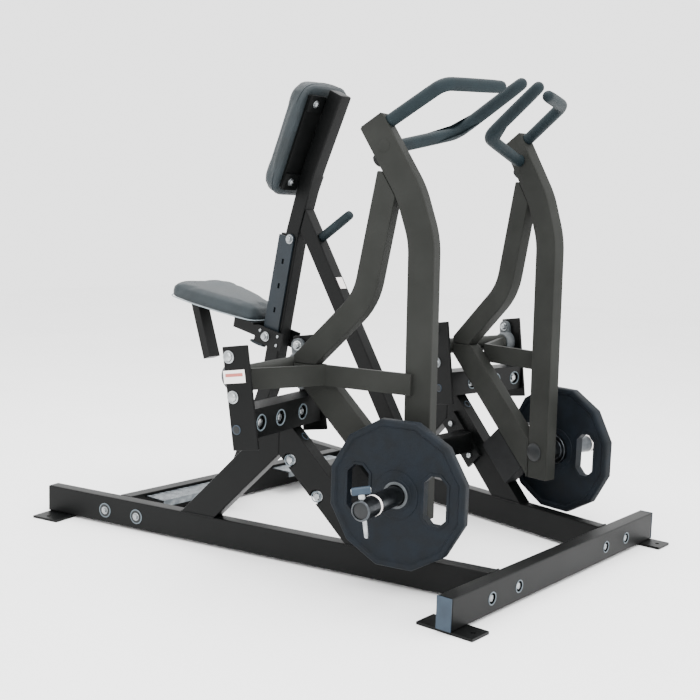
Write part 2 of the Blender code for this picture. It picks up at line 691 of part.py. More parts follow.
def lock_pin(side, tag):
    """The T-handled pin through the horn's end that keeps the disc on."""
    middle, up, across = pin_frame(side)
    start = middle - up * PIN_DOWN
    span, seat = PIN_DOWN + PIN_UP, PIN_DOWN + HORN_R + GAP
    profile = ((0, PIN_R * 0.6), (0.003, PIN_R), (seat, PIN_R), (seat, 0.0080), (span + 0.002, 0.0080))
    pin = turned(f"{tag}_lock_pin", start, up, profile, zinc(), 20, middle)
    away = up.cross(across).normalized()
    base = middle + up * PIN_UP
    rings = []
    for h in (0, HANDLE_H):
        rings.append([base + up * h + across * (a * HANDLE_L / 2) + away * (b * HANDLE_H / 2)
                      for a, b in ((-1, -1), (1, -1), (1, 1), (-1, 1))])
    join(pin, loft(f"handle_{tag}", rings, None, None, cutters))
    bevel(pin, 0.002, 2, 60)


# ---- post, pad and seat ----------------------------------------------------------------------
def main_post():
    outline = band(rounded(POST, 0.12, 4), POST_W)
    outline = clip(outline, Vector((0, RAIL_TOP + GAP)), Vector((0, 1)))
    post = prism("main_post", MIDDLE, [(p.x, p.y) for p in outline], -POST_T / 2, POST_T / 2, frame_paint())
    bevel(post, 0.004, 2, 50)


def brace():
    top, foot = Vector(BRACE[0]), Vector(BRACE[1])
    along = (foot - top).normalized()
    outline = band([top - along * 0.08, foot + along * 0.08], BRACE_W)
    outline = clip(outline, Vector((0, CROSS_TUBE_Z + CROSS_TUBE_H / 2 + GAP)), Vector((0, 1)))
    for low, high in ((Vector(POST[2]), Vector(POST[3])), (Vector(POST[1]), Vector(POST[2]))):
        run = (high - low).normalized()
        front = Vector((run.y, -run.x))
        outline = clip(outline, low + front * (POST_W / 2 + GAP), front)
    made = prism("post_brace", MIDDLE, [(p.x, p.y) for p in outline], -BRACE_T / 2, BRACE_T / 2, frame_paint())
    bevel(made, 0.004, 2, 50)
    face = Vector((-along.y, along.x))
    if face.x < 0:
        face = -face
    base = top + along * PEG_AT + face * (BRACE_W / 2 + GAP)
    start, way = Vector((base.x, 0, base.y)), Vector((face.x, 0, face.y))
    lift = Vector((-along.x, 0, -along.y)) * math.tan(PEG_LIFT)
    rings = [circle(start, way, PEG_R, 24)]
    for d, r in ((0.012, PEG_R), (PEG_L - 0.008, PEG_R), (PEG_L - 0.003, PEG_R * 0.85), (PEG_L, PEG_R * 0.5)):
        rings.append(circle(start + (way + lift) * d, way + lift, r, 24))
    loft("grip_peg", rings, rubber())


def pad_frame():
    lean = Vector((math.sin(PAD_LEAN), math.cos(PAD_LEAN)))
    rear = Vector((-lean.y, lean.x))
    return Vector(PAD_MID), lean, rear


def in_pad(a, y, n):
    """A world point from the pad's own frame: a up along it, n towards the user."""
    middle, lean, rear = pad_frame()
    p = middle + lean * a + rear * n
    return Vector((p.x, y, p.y))


def chest_pad():
    half_l, half_w, c = PAD_L / 2, PAD_W / 2, 0.040
    corners = [(-half_l, -half_w + c), (-half_l + c, -half_w), (half_l - c, -half_w), (half_l, -half_w + c),
               (half_l, half_w - c), (half_l - c, half_w), (-half_l + c, half_w), (-half_l, half_w - c)]
    def ring(n, inset):
        return [in_pad(a * (1 - inset / half_l), y * (1 - inset / half_w), n) for a, y in corners]
    rings = [ring(-PAD_T / 2, 0.006), ring(-PAD_T / 2 + 0.010, 0), ring(PAD_T / 2 - 0.014, 0), ring(PAD_T / 2, 0.014)]
    loft("chest_pad", rings, vinyl())


def pad_mount():
    back = -PAD_T / 2 - GAP
    half_l, half_w = PAD_L / 2 - 0.035, PAD_W / 2 - 0.028
    corners = [(-half_l, -half_w), (half_l, -half_w), (half_l, half_w), (-half_l, half_w)]
    board = loft("pad_mount", [[in_pad(a, y, n) for a, y in corners] for n in (back - BOARD_T, back)], frame_paint())
    inner = POST_T / 2 + GAP
    for a in (-0.118, 0.118):
        for side in (RIGHT, LEFT):
            y0, y1 = sorted((side * inner, side * (inner + 0.056)))
            corners = [(a - 0.024, y0), (a + 0.024, y0), (a + 0.024, y1), (a - 0.024, y1)]
            rings = [[in_pad(p, y, n) for p, y in corners] for n in (back - BOARD_T - 0.009, back - BOARD_T + 0.001)]
            join(board, loft(f"tab_{a}_{side}", rings, None, None, cutters))


def rail_frame():
    low, high = Vector(POST[1]), Vector(POST[2])
    along = (high - low).normalized()
    share = (SEAT_Z - low.y) / (high.y - low.y)
    return low.lerp(high, share), along


def in_rail(a, y, n):
    """A world point from the seat's frame: a forwards across the post, n up along it."""
    middle, along = rail_frame()
    ahead = Vector((along.y, -along.x))
    p = middle + ahead * a + along * n
    return Vector((p.x, y, p.y))


def rail_block(name, a, y, n, look, origin=None, group=None):
    corners = [(a[0], y[0]), (a[1], y[0]), (a[1], y[1]), (a[0], y[1])]
    rings = [[in_rail(p, q, r) for p, q in corners] for r in n]
    return loft(name, rings, look, origin, group)


def seat_rail():
    """Two guide plates beside the post and the toothed rack behind it."""
    n0, n1 = GUIDE_Z0 - SEAT_Z, GUIDE_Z1 - SEAT_Z
    for side, tag in ((RIGHT, "right"), (LEFT, "left")):
        y = sorted((side * (POST_T / 2 + GAP), side * (POST_T / 2 + GAP + GUIDE_T)))
        guide = rail_block(f"{tag}_seat_guide", (GUIDE_A0, GUIDE_A1), y, (n0, n1), plastic())
        for n in (0.075, 0.150, 0.225):
            hole = rail_block(f"slot_{tag}_{n}", (-0.016, -0.008), (-0.05, 0.05), (n, n + 0.016), None, None, cutters)
            cut(guide, hole)
    back = -POST_W / 2 - GAP
    rack = rail_block("seat_rack", (back - RACK_D, back), (-RACK_T / 2, RACK_T / 2), (n0, n1 + 0.004), frame_paint())
    for i in range(10):
        n = n0 + 0.060 + 0.025 * i
        cut(rack, rail_block(f"notch_{i}", (back - RACK_D - 0.01, back - RACK_D + 0.009), (-0.05, 0.05), (n, n + 0.010), None, None, cutters))


def seat():
    origin = in_rail(0, 0, 0)
    inner = CARRIAGE_Y
    outer = inner + CARRIAGE_T
    carriage = rail_block("seat_carriage", (PEDESTAL_A1 - 0.100, PEDESTAL_A1), (-outer, outer),
                          (-0.012, SEAT_PAD_TOP - SEAT_PAD_T - 0.006), frame_paint(), origin)
    for side in (RIGHT, LEFT):
        y = sorted((side * inner, side * outer))
        join(carriage, rail_block(f"cheek_{side}", (PEDESTAL_A1 - 0.004, CARRIAGE_A1), y, (-CARRIAGE_N, CARRIAGE_N - 0.005),
                                  None, None, cutters))
    base = SEAT_PAD_TOP - SEAT_PAD_T
    plate = rail_block("seat_plate", (PEDESTAL_A0, PEDESTAL_A1), (-0.058, 0.058), (base - 0.0062, base - GAP), None, None, cutters)
    join(carriage, plate)
    outline = [(a, -w) for a, w in SEAT_OUTLINE] + [(a, w) for a, w in reversed(SEAT_OUTLINE)]
    middle = sum(a for a, _ in outline) / len(outline)
    def ring(n, share):
        return [in_rail(middle + (a - middle) * share, y * share, n) for a, y in outline]
    rings = [ring(base, 0.97), ring(base + 0.008, 1), ring(SEAT_PAD_TOP - 0.010, 1), ring(SEAT_PAD_TOP, 0.94)]
    loft("seat_pad", rings, vinyl(), origin)
    roller = in_rail(-0.018, -outer - GAP, -0.002)
    turned("seat_roller_bolt", roller, (0, -1, 0), ((0, 0.0135), (0.004, 0.0135), (0.004, 0.009), (0.011, 0.009)),
           zinc(), 24, origin)
    join(carriage, lift_bar(base))
    lever(origin)


def lift_bar(base):
    """The bar under the seat that the user lifts it by."""
    top, foot = Vector((-1.362, 0.590)), Vector((-1.304, 0.428))
    outline = band([top - (foot - top).normalized() * 0.05, foot], 0.030)
    seat_middle, along = rail_frame()
    outline = clip(outline, seat_middle + along * (base - 0.004), -along)
    return prism("lift_bar", MIDDLE, [(p.x, p.y) for p in outline], -0.0225, 0.0225, None, None, cutters)


def lever(origin):
    """The release lever under the carriage, on a cross pin behind the rack."""
    pin = in_rail(PEDESTAL_A1 + 0.002, 0, -CARRIAGE_N - 0.012)
    profile = ((-0.005, 0.009), (0.0, 0.010), (0.030, 0.009), (0.056, 0.004))
    way = Vector((-1, 0, 0.12)).normalized()
    turned("seat_release_lever", pin, way, profile, rubber(), 16, pin)


def main():
    clear_scene()
    make_collections()
    front_rail()
    rear_cross()
    front_cross()
    for side, tag in ((RIGHT, "right"), (LEFT, "left")):
        base_rail(side, tag)
        footplate(side, tag)
        leg(side, tag, "rear", -1)
        leg(side, tag, "forward", 1)
        pivot_beam(side, tag)
        for word, v0 in (("inner", BRACKET_V_IN), ("outer", BRACKET_V_OUT)):
            bracket(side, tag, word, v0)
            bearing(side, tag, word)
        bumper(side, tag)
        front_tube(side, tag)
        rear_tube(side, tag)
        diagonal(side, tag)
        outrigger(side, tag)
        upper_grip(side, tag)
        inner_grip(side, tag)
        horn(side, tag)
        disc(side, tag)
        lock_pin(side, tag)
    main_post()
    brace()
    chest_pad()
    pad_mount()
    seat_rail()
    seat()
    for obj in list(parts.objects) + list(cutters.objects):
        obj.location.x += MIDDLE_X


main()
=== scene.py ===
import json
import math

import bmesh
import bpy
from mathutils import Matrix, Vector

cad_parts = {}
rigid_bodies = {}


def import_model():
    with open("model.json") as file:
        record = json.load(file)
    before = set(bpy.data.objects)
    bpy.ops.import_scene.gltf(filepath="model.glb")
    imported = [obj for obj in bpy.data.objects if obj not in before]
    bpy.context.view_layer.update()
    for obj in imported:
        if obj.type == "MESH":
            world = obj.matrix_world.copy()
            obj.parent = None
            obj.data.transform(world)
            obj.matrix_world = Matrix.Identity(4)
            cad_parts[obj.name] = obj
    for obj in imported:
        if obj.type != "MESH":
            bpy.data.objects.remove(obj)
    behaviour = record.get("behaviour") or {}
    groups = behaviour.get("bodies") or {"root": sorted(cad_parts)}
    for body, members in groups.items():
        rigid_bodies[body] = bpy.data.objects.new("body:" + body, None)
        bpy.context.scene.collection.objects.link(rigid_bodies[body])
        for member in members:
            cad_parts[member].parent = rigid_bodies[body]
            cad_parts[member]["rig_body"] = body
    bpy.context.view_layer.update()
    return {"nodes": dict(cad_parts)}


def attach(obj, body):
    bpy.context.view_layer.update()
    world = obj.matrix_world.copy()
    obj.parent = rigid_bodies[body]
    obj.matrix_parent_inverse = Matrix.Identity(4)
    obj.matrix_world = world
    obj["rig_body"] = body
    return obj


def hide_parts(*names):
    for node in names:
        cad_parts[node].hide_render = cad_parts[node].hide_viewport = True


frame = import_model()

# Sizes shared with the CAD, in metres.
SPLAY = math.radians(10.66)
MIDDLE_X = 0.6793
GAP = 0.0003
RAIL_TOP, RAIL_V, TUBE_T = 0.082, 0.258, 0.040
CROSS_X = -1.160
FOOTPLATE_X1, FOOTPLATE_TOP = -1.064, 0.074
APEX, LEG_W = (-0.683, 0.283), 0.080
BEAM_U0, BEAM_U1, BEAM_Z0, BEAM_Z1 = -0.678, -0.616, 0.366, 0.438
BRACKET_V_IN, BRACKET_V_OUT, PLATE_T = 0.176, 0.492, 0.008
BRACKET_TOP, BRACKET_BOTTOM = (-0.672, 0.584), (-0.634, 0.338)
PIVOT = (-0.680, 0.509)
ARM_V, ARM_T = 0.242, 0.040
HEAD, KNEE = (-0.457, 1.124), (-0.350, 0.957)
FRONT_TUBE_W, ARM_WELD_U = 0.070, -0.3375
HORN, HORN_R, HORN_V1, STOP_R = (-0.3128, 0.2465), 0.0245, 0.515, 0.042
DISC_R, DISC_BORE_R, DISC_V0, DISC_V1 = 0.1835, 0.0255, 0.316, 0.345
HAND_HOLE_U, HAND_HOLE_W, HAND_HOLE_H = 0.102, 0.058, 0.118
PIN_V, PIN_R, PIN_DOWN, PIN_UP = 0.500, 0.0055, 0.064, 0.0345
PIN_LEAN, HANDLE_TURN, HANDLE_L, HANDLE_H = math.radians(10), math.radians(30), 0.044, 0.017
PAD_LEAN, PAD_MID = math.radians(22.6), (-0.920, 1.112)
PAD_L, PAD_W, PAD_T, BOARD_T = 0.345, 0.215, 0.056, 0.008
POST_LOW, POST_HIGH, POST_T = (-1.038, 0.375), (-0.945, 0.840), 0.045
SEAT_Z, SEAT_PAD_TOP, SEAT_PAD_T = 0.523, 0.076, 0.046
GUIDE_T, GUIDE_TOP = 0.005, 0.832
SEAT_OUTLINE = ((-0.397, 0.085), (-0.375, 0.122), (-0.300, 0.121), (-0.200, 0.100), (-0.120, 0.076),
                (-0.070, 0.052))
BRACE_TOP, BRACE_FOOT, BRACE_W = (-0.9263, 0.9119), (-0.5230, 0.2603), 0.050
# Fasteners: how far heads sit below a face, and where they go.
RECESS, BEARING_BOLT, NUT_OFF = 0.0098, 0.048, 0.0113
RAIL_BOLTS_Y, RAIL_BOLTS_Z = (0.220, 0.337), 0.042
BASE_BOLTS_U, BASE_BOLTS_Z = (-1.266, -1.152), 0.041
LEG_BOLTS, LEG_HOLE = ((-0.651, 0.272), (-0.568, 0.189)), (-0.6174, 0.3356)
BEAM_BOLTS_V, BRACKET_PLUG = (0.275, 0.377, 0.462), 0.126
PAD_BOLT_A, PAD_BOLT_Y = 0.118, 0.056
SIDES = ((-1, "right"), (1, "left"))


# ---- places ----------------------------------------------------------------------------------
def forward(side):
    return Vector((math.cos(SPLAY), -side * math.sin(SPLAY), 0))


def outward(side):
    return Vector((math.sin(SPLAY), side * math.cos(SPLAY), 0))


def at(side, u, v, z):
    return forward(side) * u + outward(side) * v + Vector((MIDDLE_X, 0, z))


def side_way(side, du, dz):
    return (forward(side) * du + Vector((0, 0, dz))).normalized()


def grid(origin, x, z):
    """A frame of reference with its own X and Z axes."""
    x, z = Vector(x).normalized(), Vector(z).normalized()
    y = z.cross(x).normalized()
    made = Matrix((x, y, z)).transposed().to_4x4()
    made.translation = Vector(origin)
    return made


def along_axis(origin, axis):
    return Matrix.Translation(Vector(origin)) @ Vector(axis).to_track_quat("Z", "Y").to_matrix().to_4x4()


def pad_frame():
    lean = Vector((math.sin(PAD_LEAN), 0, math.cos(PAD_LEAN)))
    rear = Vector((-math.cos(PAD_LEAN), 0, math.sin(PAD_LEAN)))
    return grid((PAD_MID[0] + MIDDLE_X, 0, PAD_MID[1]), lean, rear)


def seat_frame():
    """Forwards across the post, and up along it, at the seat's height."""
    low, high = Vector(POST_LOW), Vector(POST_HIGH)
    run = (high - low).normalized()
    middle = low.lerp(high, (SEAT_Z - low.y) / (high.y - low.y))
    return grid((middle.x + MIDDLE_X, 0, middle.y), (run.y, 0, -run.x), (run.x, 0, run.y))


# ---- modelling helpers -----------------------------------------------------------------------
def only(piece):
    for other in bpy.context.selected_objects:
        other.select_set(False)
    piece.select_set(True)
    bpy.context.view_layer.objects.active = piece


def nothing():
    for other in bpy.context.selected_objects:
        other.select_set(False)
    bpy.context.view_layer.objects.active = None


def apply(piece, kind, **settings):
    only(piece)
    step = piece.modifiers.new(kind.lower(), kind)
    for key, value in settings.items():
        setattr(step, key, value)
    bpy.ops.object.modifier_apply(modifier=step.name)


def editing(piece, mode="FACE"):
    only(piece)
    bpy.ops.object.mode_set(mode="EDIT")
    bpy.ops.mesh.select_mode(type=mode)


def done_editing():
    bpy.ops.object.mode_set(mode="OBJECT")


def smooth(piece, degrees=35):
    only(piece)
    bpy.ops.object.shade_smooth_by_angle(angle=math.radians(degrees))


def placed(piece, matrix):
    piece.data.transform(matrix)
    piece.matrix_world = Matrix.Identity(4)
    if matrix.determinant() < 0:
        piece.data.flip_normals()


def finished(piece, name, look, body, stands_for=()):
    piece.name = piece.data.name = name
    piece.data.materials.clear()
    piece.data.materials.append(look)
    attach(piece, body)
    if stands_for:
        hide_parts(*stands_for)
    return piece


def turned(profile, sides=40):
    """A round piece on Z: a disc is added at the first radius and drawn out ring by ring."""
    nothing()
    first_z, first_r = profile[0]
    bpy.ops.mesh.primitive_circle_add(
        vertices=sides, radius=first_r, fill_type="NGON", location=(0, 0, first_z))
    piece = bpy.context.active_object
    bpy.ops.object.transform_apply(location=True)
    editing(piece)
    bpy.ops.mesh.select_all(action="SELECT")
    for (z0, r0), (z1, r1) in zip(profile, profile[1:]):
        bpy.ops.mesh.extrude_region_move(TRANSFORM_OT_translate={"value": (0, 0, z1 - z0)})
        if r1 != r0:
            share = r1 / r0
            bpy.ops.transform.resize(value=(share, share, 1), center_override=(0, 0, z1))
    bpy.ops.mesh.select_all(action="SELECT")
    bpy.ops.mesh.normals_make_consistent(inside=False)
    done_editing()
    return piece


def drawn(points, z0, z1):
    """A flat shape of these points, drawn up from z0 to z1."""
    nothing()
    bpy.ops.mesh.primitive_circle_add(vertices=len(points), radius=1, fill_type="NGON", location=(0, 0, 0))
    piece = bpy.context.active_object
    for vertex, (x, y) in zip(piece.data.vertices, points):
        vertex.co = (x, y, z0)
    editing(piece)
    bpy.ops.mesh.select_all(action="SELECT")
    bpy.ops.mesh.extrude_region_move(TRANSFORM_OT_translate={"value": (0, 0, z1 - z0)})
    bpy.ops.mesh.select_all(action="SELECT")
    bpy.ops.mesh.normals_make_consistent(inside=False)
    done_editing()
    return piece


def block(size, centre=(0, 0, 0), edge=0.001, segments=3):
    nothing()
    bpy.ops.mesh.primitive_cube_add(size=1, location=centre)
    piece = bpy.context.active_object
    piece.scale = size
    bpy.ops.object.transform_apply(location=True, scale=True)
    apply(piece, "BEVEL", width=edge, segments=segments, limit_method="ANGLE")
    smooth(piece, 40)
    return piece


def copied(piece):
    other = bpy.data.objects.new(piece.name + "_copy", piece.data.copy())
    bpy.context.scene.collection.objects.link(other)
    return other


def joined(pieces):
    only(pieces[0])
    for piece in pieces[1:]:
        piece.select_set(True)
    bpy.ops.object.join()
    return pieces[0]


def cut_with(piece, tool):
    apply(piece, "BOOLEAN", operation="DIFFERENCE", solver="EXACT", object=tool)
    bpy.data.objects.remove(tool, do_unlink=True)


def tube(points, radius, sides=4, radii=None):
    """A round bar along points, as a mesh with closed ends."""
    nothing()
    curve = bpy.data.curves.new("bar", "CURVE")
    curve.dimensions = "3D"
    curve.bevel_depth = radius
    curve.bevel_resolution = sides
    curve.use_fill_caps = True
    line = curve.splines.new("POLY")
    line.points.add(len(points) - 1)
    for i, (point, place) in enumerate(zip(line.points, points)):
        point.co = (*place, 1)
        point.radius = radii[i] if radii else 1
    bar = bpy.data.objects.new("bar", curve)
    bpy.context.scene.collection.objects.link(bar)
    only(bar)
    bpy.ops.object.convert(target="MESH")
    piece = bpy.context.active_object
    editing(piece)
    bpy.ops.mesh.select_all(action="SELECT")
    bpy.ops.mesh.remove_doubles(threshold=0.00001)
    bpy.ops.mesh.normals_make_consistent(inside=False)
    done_editing()
    smooth(piece, 60)
    return piece


def steps_between(start, end, pitch):
    start, end = Vector(start), Vector(end)
    count = max(2, round((end - start).length / pitch))
    return [start.lerp(end, i / count) for i in range(count + 1)]


# ---- material helpers ------------------------------------------------------------------------
def rgb(hex_colour):
    """An sRGB hex colour as linear RGBA."""
    channels = [int(hex_colour[i:i + 2], 16) / 255 for i in (1, 3, 5)]
    return (*[c / 12.92 if c <= 0.04045 else ((c + 0.055) / 1.055) ** 2.4 for c in channels], 1)


def add(tree, kind, links=(), **settings):
    """Adds a node, sets its settings and default inputs, and links its inputs."""
    made = tree.nodes.new(kind)
    for key, value in settings.items():
        if key in made.inputs:
            made.inputs[key].default_value = value
        else:
            setattr(made, key, value)
    for socket, source in dict(links).items():
        tree.links.new(source, made.inputs[socket])
    return made


def new_material(name, colour, roughness, metallic=0.0, **more):
    made = bpy.data.materials.new(name)
    made.use_nodes = True
    shader = made.node_tree.nodes["Principled BSDF"]
    shader.inputs["Base Color"].default_value = rgb(colour)
    shader.inputs["Roughness"].default_value = roughness
    shader.inputs["Metallic"].default_value = metallic
    for key, value in more.items():
        shader.inputs[key].default_value = value
    place = add(made.node_tree, "ShaderNodeTexCoord").outputs["Object"]
    return made, made.node_tree, shader, place


def mottled(tree, shader, place, low, high, scale, detail=3.0):
    """Base colour that drifts between two close shades."""
    cloud = add(tree, "ShaderNodeTexNoise", {"Vector": place}, Scale=scale, Detail=detail)
    ramp = add(tree, "ShaderNodeValToRGB", {"Fac": cloud.outputs["Fac"]})
    ramp.color_ramp.elements[0].position, ramp.color_ramp.elements[1].position = 0.35, 0.68
    ramp.color_ramp.elements[0].color, ramp.color_ramp.elements[1].color = rgb(low), rgb(high)
    tree.links.new(ramp.outputs["Color"], shader.inputs["Base Color"])
    return cloud


def rough_between(tree, shader, height, low, high):
    spread = add(tree, "ShaderNodeMapRange", {"Value": height}, **{"To Min": low, "To Max": high})
    tree.links.new(spread.outputs["Result"], shader.inputs["Roughness"])


def bumped(tree, shader, height, distance, strength=1.0, under=None):
    bump = add(tree, "ShaderNodeBump", {"Height": height}, Distance=distance, Strength=strength)
    if under:
        tree.links.new(under.outputs["Normal"], bump.inputs["Normal"])
    tree.links.new(bump.outputs["Normal"], shader.inputs["Normal"])
    return bump


def powder_coat(name, low, high, roughness, shine, peel=0.00016):
    """Powder coat, baked on: a satin skin with a fine orange peel about 2 mm across."""
    made, tree, shader, place = new_material(name, low, roughness, 0.0, **{"Specular IOR Level": shine})
    cloud = mottled(tree, shader, place, low, high, 9.0)
    rough_between(tree, shader, cloud.outputs["Fac"], roughness - 0.05, roughness + 0.07)
    skin = add(tree, "ShaderNodeTexNoise", {"Vector": place}, Scale=520.0, Detail=2.0)
    fine = add(tree, "ShaderNodeTexVoronoi", {"Vector": place}, Scale=900.0)
    first = bumped(tree, shader, skin.outputs["Fac"], peel)
    bumped(tree, shader, fine.outputs["Distance"], peel * 0.35, 1.0, first)
    return made


def zinc_plate():
    """Steel bright-zinc plated: a slightly cloudy silver with soft reflections."""
    made, tree, shader, place = new_material("zinc_plated_steel", "#989c9f", 0.30, 1.0)
    cloud = mottled(tree, shader, place, "#85898c", "#a9acad", 60.0)
    rough_between(tree, shader, cloud.outputs["Fac"], 0.22, 0.38)
    spangle = add(tree, "ShaderNodeTexNoise", {"Vector": place}, Scale=1400.0, Detail=1.0)
    bumped(tree, shader, spangle.outputs["Fac"], 0.00004)
    return made


def dark_steel():
    """Steel turned and blackened in oil: dark, with a fine grain."""
    made, tree, shader, place = new_material("blackened_turned_steel", "#3c3f42", 0.30, 1.0)
    cloud = mottled(tree, shader, place, "#34373a", "#4a4d50", 45.0)
    rough_between(tree, shader, cloud.outputs["Fac"], 0.24, 0.38)
    grain = add(tree, "ShaderNodeTexNoise", {"Vector": place}, Scale=1200.0, Detail=2.0)
    bumped(tree, shader, grain.outputs["Fac"], 0.00005)
    return made


def moulded_rubber(name, low, high, pitch):
    """Rubber moulded against a blasted tool: matt, with a pebbled skin."""
    made, tree, shader, place = new_material(name, low, 0.58, 0.0, **{"Specular IOR Level": 0.16})
    cloud = mottled(tree, shader, place, low, high, 25.0)
    rough_between(tree, shader, cloud.outputs["Fac"], 0.54, 0.72)
    pebble = add(tree, "ShaderNodeTexVoronoi", {"Vector": place}, Scale=1 / pitch)
    bumped(tree, shader, pebble.outputs["Distance"], 0.00030)
    return made


def upholstery_vinyl():
    """PVC-coated cloth, embossed with a leather grain whose cells are about 1.6 mm."""
    made, tree, shader, place = new_material(
        "upholstery_vinyl_grained", "#262f33", 0.44, 0.0, **{"Specular IOR Level": 0.3})
    cloud = mottled(tree, shader, place, "#1a2124", "#222a2e", 14.0)
    rough_between(tree, shader, cloud.outputs["Fac"], 0.42, 0.55)
    warp = add(tree, "ShaderNodeTexNoise", {"Vector": place}, Scale=160.0, Detail=2.0)
    bent = add(tree, "ShaderNodeMix", data_type="VECTOR", Factor=0.012)
    tree.links.new(place, bent.inputs[4])
    tree.links.new(warp.outputs["Color"], bent.inputs[5])
    grain = add(tree, "ShaderNodeTexVoronoi", {"Vector": bent.outputs[1]},
                feature="DISTANCE_TO_EDGE", Scale=620.0)
    crease = add(tree, "ShaderNodeMapRange", {"Value": grain.outputs["Distance"]}, **{"From Max": 0.18})
    bumped(tree, shader, crease.outputs["Result"], 0.00022)
    return made


def cast_iron():
    """Grey iron sand cast and painted: grainy and dull."""
    made, tree, shader, place = new_material("painted_cast_iron", "#34383b", 0.55)
    mottled(tree, shader, place, "#2c3033", "#43484b", 40.0)
    sand = add(tree, "ShaderNodeTexNoise", {"Vector": place}, Scale=900.0, Detail=3.0)
    bumped(tree, shader, sand.outputs["Fac"], 0.00035)
    return made


def moulded_plastic(name, low, high, roughness=0.45, shine=0.3):
    """Polypropylene, injection moulded with a fine spark-eroded skin."""
    made, tree, shader, place = new_material(name, low, roughness, 0.0, **{"Specular IOR Level": shine})
    mottled(tree, shader, place, low, high, 30.0)
    skin = add(tree, "ShaderNodeTexNoise", {"Vector": place}, Scale=1500.0, Detail=1.0)
    bumped(tree, shader, skin.outputs["Fac"], 0.00008)
    return made


def rolled_aluminium():
    """Aluminium tread plate, rolled: a dull, slightly cloudy silver."""
    made, tree, shader, place = new_material("rolled_aluminium_tread", "#6c7175", 0.40, 1.0)
    cloud = mottled(tree, shader, place, "#565b5f", "#7c8184", 50.0)
    rough_between(tree, shader, cloud.outputs["Fac"], 0.30, 0.48)
    brush = add(tree, "ShaderNodeTexNoise", {"Vector": place}, Scale=700.0, Detail=2.0)
    bumped(tree, shader, brush.outputs["Fac"], 0.00006)
    return made


def printed_vinyl(name, colour):
    """A vinyl sticker, printed flat: smooth with the faintest waviness."""
    made, tree, shader, place = new_material(name, colour, 0.35)
    wave = add(tree, "ShaderNodeTexNoise", {"Vector": place}, Scale=120.0, Detail=1.0)
    rough_between(tree, shader, wave.outputs["Fac"], 0.30, 0.42)
    bumped(tree, shader, wave.outputs["Fac"], 0.00005)
    return made


BLACK = powder_coat("powder_coat_black_satin", "#040505", "#070808", 0.42, 0.12)
GREY = powder_coat("powder_coat_charcoal", "#20211f", "#262725", 0.55, 0.08)
BLUE_BLACK = powder_coat("powder_coat_blue_black", "#0c1419", "#131c23", 0.42, 0.25)
ZINC = zinc_plate()
DARK_STEEL = dark_steel()
GRIP = moulded_rubber("grip_rubber_moulded", "#0f191d", "#152024", 0.0016)
BUMPER = moulded_rubber("bumper_rubber_moulded", "#0d0e0f", "#151617", 0.0022)
DISC = moulded_rubber("disc_rubber_moulded", "#060b10", "#0b1219", 0.0012)
VINYL = upholstery_vinyl()
IRON = cast_iron()
CAP = moulded_plastic("end_cap_polypropylene", "#1c2935", "#253340")
BLACK_PLASTIC = moulded_plastic("black_polypropylene", "#0d0f10", "#15181a")
TREAD = rolled_aluminium()
LABEL = printed_vinyl("sticker_vinyl_white", "#e6e1de")
LABEL_BAR = printed_vinyl("sticker_vinyl_red_bar", "#a85a52")
RIM = moulded_plastic("washer_nylon_grey", "#4c565c", "#5a646a", 0.4)
PIPING = moulded_plastic("pad_piping_pale", "#7b868b", "#8a9499", 0.5)


# ---- CAD pieces, merged and smoothed ----------------------------------------------
def refined(node, look, levels=0, angle=38):
    """A copy of a CAD piece, merged and smoothed, that stands for it."""
    cad = frame["nodes"][node]
    piece = bpy.data.objects.new(node + "_made", cad.data.copy())
    bpy.context.scene.collection.objects.link(piece)
    only(piece)
    if piece.data.has_custom_normals:
        bpy.ops.mesh.customdata_custom_splitnormals_clear()
    editing(piece, "VERT")
    bpy.ops.mesh.select_all(action="SELECT")
    bpy.ops.mesh.remove_doubles(threshold=0.00002)
    bpy.ops.mesh.dissolve_limited(angle_limit=math.radians(0.7))
    done_editing()
    if levels:
        crease = piece.data.attributes.new("crease_edge", "FLOAT", "EDGE")
        bm = bmesh.new()
        bm.from_mesh(piece.data)
        for i, edge in enumerate(bm.edges):
            if len(edge.link_faces) == 2 and edge.calc_face_angle(0) > math.radians(50):
                crease.data[i].value = 1.0
        bm.free()
        apply(piece, "SUBSURF", levels=levels, render_levels=levels)
    smooth(piece, 180 if levels else angle)
    if not levels:
        apply(piece, "WEIGHTED_NORMAL", keep_sharp=True, weight=60)
    return finished(piece, node + "_made", look, cad["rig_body"], (node,))


def refine_frame():
    black = ["front_rail", "rear_cross_tube", "front_cross_tube", "main_post", "post_brace", "pad_mount",
             "seat_rack", "seat_carriage"]
    for _, tag in SIDES:
        black += [f"{tag}_{word}" for word in ("base_rail", "rear_foot", "rear_leg", "forward_leg",
                                               "pivot_beam", "inner_bracket", "outer_bracket")]
        for word in ("arm_front_tube", "arm_rear_tube", "arm_diagonal", "arm_outrigger"):
            refined(f"{tag}_{word}", GREY)
        for word in ("upper_grip", "inner_grip"):
            refined(f"{tag}_{word}", GRIP, 1)
        refined(f"{tag}_bumper", BUMPER)
        refined(f"{tag}_seat_guide", BLUE_BLACK)
        refined(f"{tag}_end_cap", CAP)
        for word in ("inner_bearing", "outer_bearing"):
            refined(f"{tag}_{word}", IRON)
    for node in black:
        refined(node, BLACK)
    refined("grip_peg", GRIP, 1)
    refined("seat_release_lever", GRIP, 1)


